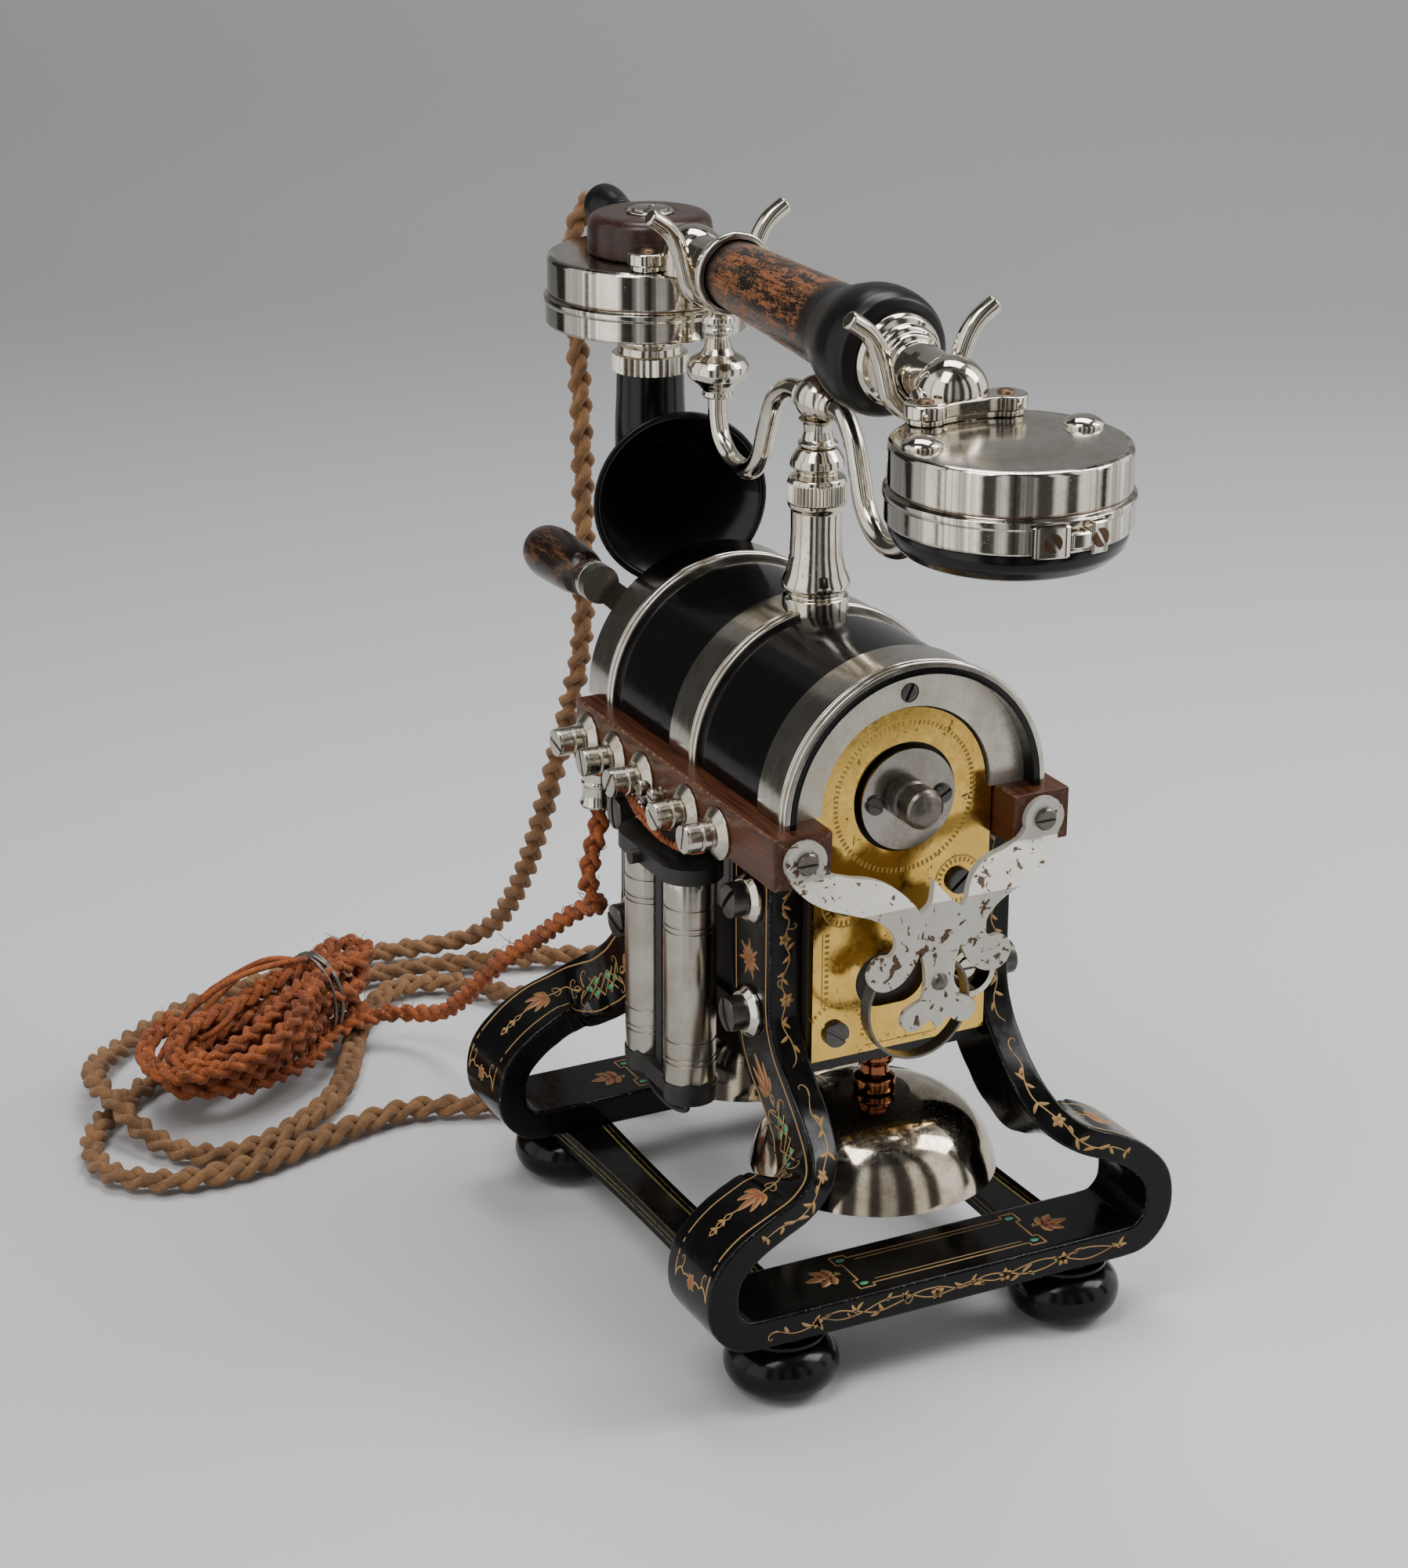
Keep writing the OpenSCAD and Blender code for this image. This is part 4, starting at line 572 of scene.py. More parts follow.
PLATE = (0.62, 0.585, 0.51)
M = {
    "japan": japan("black_japan"),
    "strip": strip_japan("frame_japan"),
    "strap": strip_japan("strap_japan", (0.13, 0.115, 0.07), 2.6, (1.9, 0.45, (0.22, 0.17, 0.06))),
    "barrel": japan("barrel_black", (0.09, 0.2)),
    "inner": plain("inner_black", (0.010, 0.009, 0.008), 0.42),
    "nickel": nickel("nickel_plate", PLATE, 0.5, (0.09, 0.22), 0.02),
    "polished": nickel("nickel_polished", (0.66, 0.62, 0.545), 0.4, (0.06, 0.17), 0.005),
    "case": nickel("nickel_case", (0.70, 0.66, 0.58), 0.4, (0.06, 0.16), 0.02, painted_reflections=0.95),
    "lid": nickel("nickel_lid", (0.50, 0.475, 0.42), 0.6, (0.13, 0.26), 0.02),
    "terminal": nickel("nickel_terminal", (0.55, 0.52, 0.45), 0.55, (0.2, 0.32), 0.03),
    "arm": dark_metal("arm_steel", (0.15, 0.135, 0.115), (0.2, 0.38)),
    "bands": nickel("nickel_bands", (0.58, 0.55, 0.49), 0.5, (0.12, 0.24), brushed=(0.1, 1, 0.1)),
    "ring": nickel("nickel_ring", (0.66, 0.625, 0.55), 0.5, (0.26, 0.38), metal=0.8),
    "disc": nickel("bearing_disc", (0.36, 0.34, 0.305), 0.5, (0.18, 0.30), 0.01),
    "pitted": nickel("nickel_pitted", (0.54, 0.52, 0.465), 0.2, (0.34, 0.46), pits=0.088, metal=0.4,
                     brown=(0.075, 0.042, 0.016)),
    "coil": nickel("coil_nickel", (0.44, 0.415, 0.36), 0.4, (0.2, 0.32), brushed=(1, 1, 0.08)),
    "post": nickel("post_nickel", PLATE, 0.5, (0.06, 0.18), 0.03, brown=(0.10, 0.05, 0.02)),
    "brass": brass_plate("engraved_brass"),
    "screw": dark_metal("blued_steel"),
    "rust": dark_metal("brown_steel", (0.10, 0.060, 0.038), (0.3, 0.5)),
    "steel": dark_metal("bare_steel", (0.30, 0.29, 0.28), (0.25, 0.45)),
    "copper": nickel("copper_spindle", (0.30, 0.115, 0.055), 0.6, (0.10, 0.22)),
    "bell": bell("bell_nickel"),
    "mahogany": wood("mahogany", (0.034, 0.0095, 0.004), (0.100, 0.031, 0.012), (1, 0.06, 1), (0.26, 0.42),
                     edges=(0.20, 0.11, 0.062)),
    "handle": wood("handle_wood", (0.006, 0.004, 0.003), (0.012, 0.007, 0.005), (0.6, 0.12, 0.6), (0.16, 0.34),
                   wear_and_highlight=(0.12, 0.050, 0.022)),
    "block": wood("block_wood", (0.015, 0.0065, 0.0048), (0.040, 0.0165, 0.0115), (0.08, 1, 1), (0.2, 0.34)),
    "grip": grip_wood("worn_lacquer"),
    "ebonite": ebonite("ebonite"),
    "bulb": ebonite("ebonite_satin", 0.26),
    "brown": cloth("brown_cloth", (0.11, 0.050, 0.017), (0.31, 0.152, 0.056), 1.9, 0.08, 0.12),
    "orange": cloth("orange_cloth", (0.095, 0.016, 0.003), (0.44, 0.108, 0.016), 1.4, 0.05, 0.2, (0.62, 0.27, 0.08)),
    "gold": plain("gold_paint", (0.47, 0.28, 0.10), 0.42, 0.15, 0.4, 0.8),
    "red": plain("red_paint", (0.34, 0.115, 0.045), 0.42, 0.05, 0.35, 0.8),
    "green": plain("green_enamel", (0.06, 0.42, 0.22), 0.3, 0.0, 0.35, 0.8),
}

# The CAD parts that stay visible take their slot's material, or one of their own
BY_SLOT = {
    "japanned_iron": "japan", "inner_iron": "inner", "barrel_black": "barrel", "nickel_bands": "bands",
    "dark_steel": "screw", "bell_metal": "bell", "magnet_steel": "steel", "winding": "steel", "handle_wood": "handle",
    "grip_wood": "grip", "brown_cloth": "brown", "orange_cloth": "orange"}
SPECIAL = {"end_ring_front": "ring", "end_ring_rear": "ring", "front_ornament": "pitted", "coils": "coil",
           "spring_hoop": "arm", "crank_arm": "arm", "crank_shaft": "arm",
           "bearing_disc_front": "disc", "bearing_disc_rear": "disc"}
for part in frame["record"]["subparts"]:
    obj, slot = NODES[part["node"]], part["material_slot"]
    mat = M[SPECIAL.get(part["node"], BY_SLOT.get(slot, slot))]
    if obj.material_slots:
        for s in obj.material_slots:
            s.link, s.material = "OBJECT", mat
    else:
        obj.data.materials.append(mat)

# The worn edges of CAD parts, in millimetres
BEVELS = {"front_ornament": 0.45, "coil_yoke": 0.5, "end_ring_front": 0.3, "end_ring_rear": 0.3,
          "bearing_plate_front": 0.3, "bearing_plate_rear": 0.3, "bearing_disc_front": 0.4, "bearing_disc_rear": 0.4,
          "base_plate": 0.4, "crank_arm": 0.4}
for node, width in BEVELS.items():
    mod = NODES[node].modifiers.new("bevel", "BEVEL")
    mod.width, mod.segments, mod.limit_method, mod.angle_limit = width * 0.001, 2, "ANGLE", math.radians(40)
    weigh(NODES[node])


# --- Cords --------------------------------------------------------------------

HANDSET_ROUTE = [
    (0, KNOB_END + 0.1, KNOB_Z), (0, KNOB_END + 3, KNOB_Z), (-2, 154.5, 305), (-6, 157, 292), (-7, 154, 276),
    (-7, 151, 257), (-7, 149, 237), (-7, 148, 217), (-7, 148, 196), (-7, 148, 176), (-7, 150, 157), (-7, 156, 139),
    (-7, 165, 120), (-7, 174, 102), (-7, 183, 84), (-7, 193, 66), (-7, 204, 49), (-7, 217, 33), (-8, 231, 19),
    (-13, 245, 9), (-27, 254, 4.5),
    *((x, y, 3.5) for x, y in ((-45, 258), (-65, 257), (-85, 254), (-105, 250), (-124, 243), (-142, 232))),
    (-158, 219, 4), (-171, 203, 7), (-177, 184, 11), (-176, 166, 11), (-171, 149, 6),
    *((x, y, 3.5) for x, y in (
        (-163, 135), (-151, 126), (-135, 128), (-119, 137), (-105, 148), (-95, 161), (-86, 177), (-77, 195), (-65, 212),
        (-50, 225), (-34, 224), (-22, 212), (-11, 198), (6, 190), (24, 190), (36, 201), (32, 216), (18, 225), (0, 231),
        (-19, 236), (-38, 239), (-58, 240), (-78, 238), (-98, 231), (-117, 221), (-134, 208), (-150, 194), (-166, 181),
        (-180, 167), (-189, 150), (-189, 131), (-177, 118), (-160, 114), (-142, 115), (-123, 121), (-103, 127),
        (-83, 130), (-64, 124), (-45, 115), (-26, 107))),
    (-8, 104, 8), (4, 102, 24), (6, 99, 43), (5, 95, 62), (3, 89, 81), (1, 77, 97.5), (0, 70.2, 100), (0, 67.3, 100)]
LINE_ROUTE = [
    (-47.5, 50, 138.55), (-47.5, 50, 131), (-49.5, 51, 121), (-50, 52.5, 111), (-46.5, 55.5, 102.5), (-43, 62, 98),
    (-44, 72, 93), (-46, 83, 85), (-47, 95, 76), (-48, 109, 66), (-50, 125, 54), (-51, 141, 41), (-52, 157, 27),
    (-54, 171, 17), (-58, 183, 12.5), (-65, 190, 11)]
LINE_D = 6.6
WAIST = 19.0                    # where the wire draws the hank in, along it from its middle


def hank_spot(x, y, z):
    """A point given along and across the hank, in the frame."""
    c, s = math.cos(math.radians(32)), math.sin(math.radians(32))
    return np.array([-110 + x * c - y * s, 184 + x * s + y * c, z])


def hank_points(steps):
    """The hank: layers of long loops, drawn in at the waist, each turn a little out of line."""
    layers, turns, step, pitch, low = 4, 1.5, 8.3, LINE_D + 0.55, 7.5 + LINE_D / 2
    cycle = turns + 0.5
    out = []
    for n in np.arange(int((layers * cycle - 0.5) * steps) + 1) / steps:
        layer = math.floor(n / cycle)
        within = n - layer * cycle
        wound = min(within, turns) * step
        off = wound if layer % 2 == 0 else turns * step - wound
        climb = max(0, within - turns) / 0.5
        z = low + pitch * (layer + (1 - math.cos(math.pi * climb)) / 2)
        a = -math.radians(58) - 2 * math.pi * n
        reach = 1 - 0.13 * (0.5 + 0.5 * math.sin(2.9 * n + 0.4)) * (1 if math.cos(a) > 0 else 1.5)
        x = (53 - off) * math.cos(a) * reach
        y = (21 - off) * math.sin(a) - 3.4 * math.sin(a) * abs(math.sin(a)) ** 5
        # Drawn in at the waist, fanned out and flattened towards the left end
        if abs(y) > 4:
            pinched = math.copysign(4 + max(0, abs(y) - 11) * 0.8, y)
            y = blend(y, pinched, math.exp(-((x - WAIST) / 15) ** 2))
        fan = min(1, max(0, (-x - 2) / 38)) ** 1.3
        level = (z - low) / pitch
        p = hank_spot(x * (1 + 0.085 * level * fan), y * (1 + 0.12 * level * fan), low + (z - low) * (1 - 0.42 * fan))
        lift = (p[2] - low) / pitch
        loose = min(1, 0.4 + 0.3 * lift)
        p[0] += (2.4 * math.sin(p[1] / 13 + 1.3 * lift) + 3.0 * lift * math.cos(lift * 1.7)) * loose
        p[1] += (2.0 * math.sin(p[0] / 11 + 0.9 * lift) + 2.5 * lift * math.sin(lift * 2.1)) * loose
        p[2] += 0.9 * (math.sin(p[0] / 9) + math.sin(p[1] / 8)) * min(1, lift * 0.5)
        out.append(p)
    return np.array(out)


def plait(path, d, period, strand, flat, wobble, seed):
    """A plait of three strands along a path, as one shape."""
    strands = 3
    t, s, b = level_frames(path)
    drift = np.cumsum(np.random.default_rng(seed).normal(0, wobble, len(path)))
    drift -= np.linspace(drift[0], drift[-1], len(path))
    wide, thick = d / 2 - strand, flat * d / 2 - strand
    parts = []
    for k in range(strands):
        a = 2 * np.pi * (lengths(path) / period + k / strands) + drift
        line = path + (wide * np.sin(a))[:, None] * s + (thick * np.sin(2 * a))[:, None] * b
        parts.append(tube(line, strand * (1 + 0.06 * np.sin(3.1 * a + k)), 10, frames=(t, s, b)))
    return join_parts(parts)


def frays(path, radius, count, length, seed, lift):
    """Loose ends of thread that stand off a cord."""
    rnd = np.random.default_rng(seed)
    t = tangents(path)
    parts = []
    for k in rnd.integers(2, len(path) - 2, count):
        side = rnd.normal(size=3)
        side[2] = abs(side[2]) + 0.2
        side = unit(side - t[k] * (side @ t[k]))
        go = t[k] * rnd.choice([-1, 1]) * rnd.uniform(0.5, 1.0) + side * lift * rnd.uniform(0.5, 1.1)
        bend = rnd.normal(size=3) * 0.35
        n = rnd.uniform(*length)
        pts = [path[k] + side * radius * 0.8 + go * n * u + bend * n * u * u for u in (0, 0.35, 0.7, 1)]
        pts = [(x, y, max(z, 0.4)) for x, y, z in pts]
        parts.append(tube(smooth(pts, 2), np.linspace(0.2, 0.09, 7), 4, (0.3, 0.5, 0.8)))
    return parts


def hank_tie():
    """The wire that draws the hank in at its waist."""
    rings = []
    for turn, lean in ((-1.6, 0.10), (0.2, -0.06), (1.9, 0.05)):
        ring = [hank_spot(WAIST + turn + 12 * lean * math.cos(q), 12.8 * math.cos(q), 21.2 + 16.4 * math.sin(q))
                for q in circle(48)]
        path = np.array(ring + ring[:2])
        rings.append(tube(path, 0.7 + 0.12 * np.sin(np.arange(len(path)) * 2.1), 8, (0.3, 0.2, 1)))
    return piece("hank_tie", rings, "arm", sharp=0)


def tails():
    """The bare ends of the cord's three wires, out of the waist."""
    lines = [
        [(16, 8, 33), (4, 12, 37), (-12, 14, 33), (-26, 15, 26), (-33, 8, 24), (-27, 1, 30), (-18, 2, 35)],
        [(16, 4, 36), (2, 8, 40), (-14, 20, 31), (-24, 26, 20), (-36, 25, 12), (-42, 19, 12)],
        [(17, 0, 37), (6, -2, 41), (-8, 6, 40), (-20, 12, 36), (-30, 20, 26), (-40, 16, 22), (-37, 9, 30)]]
    return [tube(smooth([hank_spot(*p) for p in line], 6), 1.15, 8, (0.2, 0.3, 1)) for line in lines]


def handset_cord():
    route, along = evenly(smooth(HANDSET_ROUTE, 8), 1.5)
    v, f, u = plait(route, 8.6, 27, 2.0, 0.84, 0.02, 3)
    v[:, 2] = np.maximum(v[:, 2], 0.05)
    obj = piece("handset_cord_plait", [(v, f, u)], "brown", body=None, sharp=0)
    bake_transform(obj)
    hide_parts("handset_cord")


def line_cord():
    loops = hank_points(48)
    lead, tail = unit(loops[0] - loops[1]), unit(loops[-1] - loops[-2])
    join = loops[0] + lead * LINE_D
    route = smooth(LINE_ROUTE + [tuple(join + lead * 0.05)], 8)
    route = np.concatenate([route, smooth([join, loops[0]], 4)[1:], loops[1:], [loops[-1] + tail * LINE_D * 0.9]])
    route, along = evenly(route, 1.5)
    cord = piece("line_cord_plait", [plait(route, 6.9, 21, 1.62, 0.9, 0.07, 5)], "orange", "line_cord",
                 "line_cord_hank", sharp=0)
    threads = frays(route, 3.0, 520, (2.0, 6.5), 11, 0.45) + tails()
    loose = piece("line_cord_frays", threads, "orange", sharp=0)
    tie = hank_tie()


# --- Lyre frames, straps and rails --------------------------------------------

INNER, LEG_T, BASE_T, LOBE, LEG_Y, BASE_Y = 30.1, 10.8, 9.8, 79.5, 50.7, 89.3
STRIP_D, BASE_D, KICK = 24.4, 27.6, 104.0
FOOT_H, WASHER_T, STRAP_T = 17.4, 1.0, 2.0
STRAP_Z = FOOT_H + WASHER_T
BASE_MID = STRAP_Z + STRAP_T + BASE_T / 2
LEG_X, LOBE_X = INNER + LEG_T / 2, LOBE - BASE_T / 2


def half_strip():
    """Distances, points with thickness, directions and depth from the top of a leg to the base bar's middle."""
    def out(t):
        return blend(LEG_Y, BASE_Y, t)

    # On the leg: x past LEG_X, y, drop from KICK and how much thinner than the leg
    leg = [(0, LEG_Y + 0.2, -12, 0), (0, LEG_Y + 0.8, 0, 0), (0.1, out(0.12), 8.5, 0.4), (0.3, out(0.3), 16, 0.8),
           (0.1, out(0.52), 23.5, 1), (-1.4, out(0.74), 30.5, 1.3)]
    # Round the lobe: share of the way from LEG_X to LOBE_X, y, height and how much thinner than the base bar
    lobe = [(0.14, out(0.89), KICK - 36.5, 0.8), (0.33, out(0.97), KICK - 41.5, 1)]
    lobe += [(t, BASE_Y, blend(BASE_MID, KICK, h), thin) for t, h, thin in (
        (0.56, 0.425, 1), (0.78, 0.36, 0.8), (0.95, 0.27, 0.4), (1, 0.17, 0), (0.97, 0.08, 0))]
    lobe += [(0.84, BASE_Y, BASE_MID + 1, 0), (0.66, BASE_Y, BASE_MID, 0)]
    curve = smooth([(-LEG_X + x, y, KICK - drop, LEG_T - thin) for x, y, drop, thin in leg]
                   + [(-blend(LEG_X, LOBE_X, t), y, z, BASE_T - thin) for t, y, z, thin in lobe], 8)
    top, mid = np.array([-LEG_X, LEG_Y, RAIL_Z, LEG_T]), np.array([0, BASE_Y, BASE_MID, BASE_T])
    p = np.concatenate([[blend(top, curve[0], k / 12) for k in range(12)], curve,
                        [blend(curve[-1], mid, k / 10) for k in range(1, 11)]])
    s = lengths(p[:, :3])
    t = unit(np.gradient(p[:, :3], s, axis=0))
    n = unit(np.stack([-t[:, 2], 0 * t[:, 0], t[:, 0]], 1))
    d = np.cross(t, n)
    d = np.where(d[:, 1:2] > 0, -d, d)
    deep = blend(STRIP_D, BASE_D, np.maximum((p[:, 1] - LEG_Y) / (BASE_Y - LEG_Y), 0) ** 4) - 4 * abs(t[:, 1])
    return s, p, n, d, deep


STRIP = half_strip()


def rounded_section(w, deep, r=0.9):
    """Points round a strip's section as (across, depth, distance to the edge)."""
    out = []
    corners = (((w - r, r), -90, (w, r), (0, 1)), ((w - r, deep - r), 0, (w - r, deep), (-1, 0)),
               ((r - w, deep - r), 90, (-w, deep - r), (0, -1)), ((r - w, r), 180, (r - w, 0), (1, 0)))
    for (cx, cy), turned, (x, y), (dx, dy) in corners:
        for a in (0, 30, 60, 90):
            q = math.radians(turned + a)
            out.append((cx + r * math.cos(q), cy + r * math.sin(q), 0.1 + abs(a - 45) * 0.006))
        size = (deep if dy else 2 * w) - 2 * r
        inner = ((4 / size, 4), (0.5, size / 2), (1 - 4 / size, 4)) if dy else ((0.5, size / 2),)
        step = min(1.2, size * 0.2)
        for share, gap in ((step / size, step), *inner, (1 - step / size, step)):
            out.append((x + dx * size * share, y + dy * size * share, gap + r))
    return np.array(out)


def lyre_frames():
    s, p, n, d, deep = STRIP
    for sy, end in ENDS:
        rings, uvs = [], []
        for i in range(len(s)):
            q = rounded_section(p[i, 3] / 2, deep[i])
            rings.append(p[i, :3] + n[i] * q[:, :1] + d[i] * q[:, 1:2])
            uvs.append(np.stack([np.full(len(q), s[i]), q[:, 2]], 1))
        rings, uvs = np.array(rings), np.array(uvs)
        rings = np.concatenate([rings, (rings * (-1, 1, 1))[::-1][1:]]) * (1, sy, 1) + (0, STAND_Y, 0)
        shape = grid(rings, True, True, np.concatenate([uvs, uvs[::-1][1:]]))
        piece("lyre_frame_" + end, [shape], "strip", "frame_" + end, sharp=50)


def bar(name, look, stands_for, place, stations, section, gap):
    """A bar along y, from its section and the distance to its end at each station."""
    (x, y, z), rings, uvs = place, [], []
    for v in stations:
        q = section(v)
        rings.append(np.stack([x + q[:, 0], np.full(len(q), y + v), z + q[:, 1]], 1))
        uvs.append(np.stack([np.full(len(q), v), np.minimum(q[:, 2], gap(v))], 1))
    piece(name, [grid(rings, True, True, np.array(uvs))], look, stands_for, sharp=40)


def straps():
    reach = FOOT_Y + 9.5

    def section(v):
        u = abs(v) / reach
        return rounded_section(7 + 2.5 * u * u - 3.2 * max(0, u - 0.95) / 0.05, STRAP_T, 0.35)

    for sx, side in SIDES:
        bar("strap_bar_" + side, "strap", "strap_" + side, (sx * FOOT_X, STAND_Y, STRAP_Z),
            [reach * i / 24 for i in range(-24, 25)], section, lambda v: reach - abs(v) + 0.1)


def rails():
    half, width, height = 67.2, 9.45, 16.0
    ends = [60, 64.5, 66.2, 66.9, half]

    def section(v):
        trim = max(0, 0.5 - (half - abs(v))) * 0.6
        q = rounded_section(width - trim, height, 0.7)
        q[:, 1] = np.clip(q[:, 1], trim, height - trim)
        return q

    for sx, side in SIDES:
        bar("wood_rail_" + side, "mahogany", "rail_" + side, (sx * (INNER + width), STAND_Y - 1, RAIL_Z),
            [-y for y in ends[::-1]] + list(range(-50, 51, 10)) + ends, section, lambda v: half - abs(v) + 0.75)


# --- Painted ornament ---------------------------------------------------------

def strip_face(face, sx, sy):
    """Maps (distance along the strip, place across it) to a point on one face of a frame."""
    s, *rows, _ = STRIP

    def surf(q, lift):
        here, n, d = (np.stack([np.interp(q[:, 0], s, column) for column in r.T], 1) for r in rows)
        if face == "front":
            x = here[:, :3] + n * q[:, 1:] - d * lift
        else:
            x = here[:, :3] - n * here[:, 3:] / 2 + d * q[:, 1:] - n * lift
        return x * (-sx, sy, 1) + (0, STAND_Y, 0)
    return surf


def bar_face(face, sy):
    """Maps (x, height or depth) to a point on a base bar's outer or upper face."""
    def surf(q, lift):
        x, v = q.T
        if face == "outer":
            return np.stack([x, np.full(len(x), STAND_Y + sy * (BASE_Y + lift)), BASE_MID + v], 1)
        return np.stack([x, STAND_Y + sy * (BASE_Y - v), np.full(len(x), BASE_MID + BASE_T / 2 + lift)], 1)
    return surf


class Ink:
    """Painted strokes: thin closed slivers on a surface, in three colours."""
    COLOURS = ("gold", "red", "green")

    def __init__(self):
        self.verts, self.faces, self.colours, self.count, self.surf = [], [], [], 0, None

    def stroke(self, pts, width=0.55, colour="gold", shape="line", n=5, lift=0.06):
        p = smooth(pts, n)
        t = tangents(p)
        side = np.stack([-t[:, 1], t[:, 0]], 1)
        u = np.linspace(0, 1, len(p))
        k = {"line": np.minimum(1, 0.35 + 6 * np.minimum(u, 1 - u)), "leaf": np.sin(np.pi * u ** 0.75) ** 0.8 + 0.06,
             "even": np.ones(len(u)), "tail": 1.05 - 0.8 * u}[shape][:, None] * width / 2
        a, b = p + side * k, p - side * k
        rings = np.stack([self.surf(a, -0.1), self.surf(a, lift), self.surf(b, lift), self.surf(b, -0.1)], 1)
        m = len(rings)
        idx = np.arange(m * 4).reshape(m, 4) + self.count
        faces = [(idx[i, j], idx[i, (j + 1) % 4], idx[i + 1, (j + 1) % 4], idx[i + 1, j])
                 for i in range(m - 1) for j in range(4)]
        faces += [tuple(idx[0, ::-1]), tuple(idx[-1])]
        self.verts.append(rings.reshape(-1, 3))
        self.faces += faces
        self.colours += [self.COLOURS.index(colour)] * len(faces)
        self.count += m * 4

    def ruled(self, pts, width):
        self.stroke(pts, width, shape="even", n=1)

    def leaf(self, x, y, angle, length, width, bend=0.0, fill="gold"):
        c, s = math.cos(math.radians(angle)), math.sin(math.radians(angle))
        bow = [(u, bend * 4 * u * (1 - u)) for u in (0, 0.35, 0.7, 1)]
        pts = [(x + c * length * u - s * v, y + s * length * u + c * v) for u, v in bow]
        self.stroke(pts, width, shape="leaf", n=4)
        if fill != "gold":
            inner = [(x + (px - x) * 0.86 + c * length * 0.06, y + (py - y) * 0.86 + s * length * 0.06)
                     for px, py in pts]
            self.stroke(inner, width * 0.55, fill, "leaf", 4, 0.09)

    def leaves(self, places, share, width, bend):
        for x, y, angle, length in places:
            self.leaf(x, y, angle, length * share, width, bend)

    def curl(self, x, y, angle, size, way=1, turns=0.8, width=0.5):
        """A tendril that sets out at an angle and rolls up."""
        pts, a, step = [(x, y)], math.radians(angle), size / 5
        for k in range(9):
            x, y = x + step * math.cos(a), y + step * math.sin(a)
            pts.append((x, y))
            a += way * turns * 2 * math.pi / 9 * (0.35 + k / 7)
            step *= 0.9
        self.stroke(pts, width, shape="tail", n=3)

    def floret(self, x, y, r, petals, fill="gold"):
        for k in range(petals):
            self.leaf(x, y, 360 * k / petals + 18, r, r * 0.62, 0, fill)

    def lotus(self, x, y, angle, size):
        for off, length, width, bend in ((-58, 0.62, 0.2, -0.10), (58, 0.62, 0.2, 0.10), (-30, 0.85, 0.24, -0.06),
                                         (30, 0.85, 0.24, 0.06), (0, 1.0, 0.30, 0)):
            self.leaf(x, y, angle + off, size * length, size * width, size * bend, "red")

    def maple(self, x, y, way, size):
        for off, length in ((-82, 0.55), (-42, 0.8), (0, 1.0), (42, 0.8), (82, 0.55)):
            self.leaf(x, y, (0 if way > 0 else 180) + off, size * length, size * 0.36, 0, "red")
        self.stroke([(x - way * 3.4, y), (x - way * 1.5, y + 0.5), (x, y)], 0.6)
        self.leaf(x - way * 3.2, y, 60 if way > 0 else 120, 2.2, 1.0)

    def diamond(self, x, y, dx, dy):
        for sx, sy in ((1, 1), (1, -1), (-1, 1), (-1, -1)):
            self.ruled([(x, y + sy * dy), (x + sx * dx, y)], 0.42)

    def gem(self, x, y, dx, dy):
        self.stroke([(x - dx, y), (x, y), (x + dx, y)], dy * 2, "green", "leaf", 3, 0.07)

    def done(self, name):
        piece(name, [(np.concatenate(self.verts), self.faces, None)], self.COLOURS, sharp=0, face_looks=self.colours)


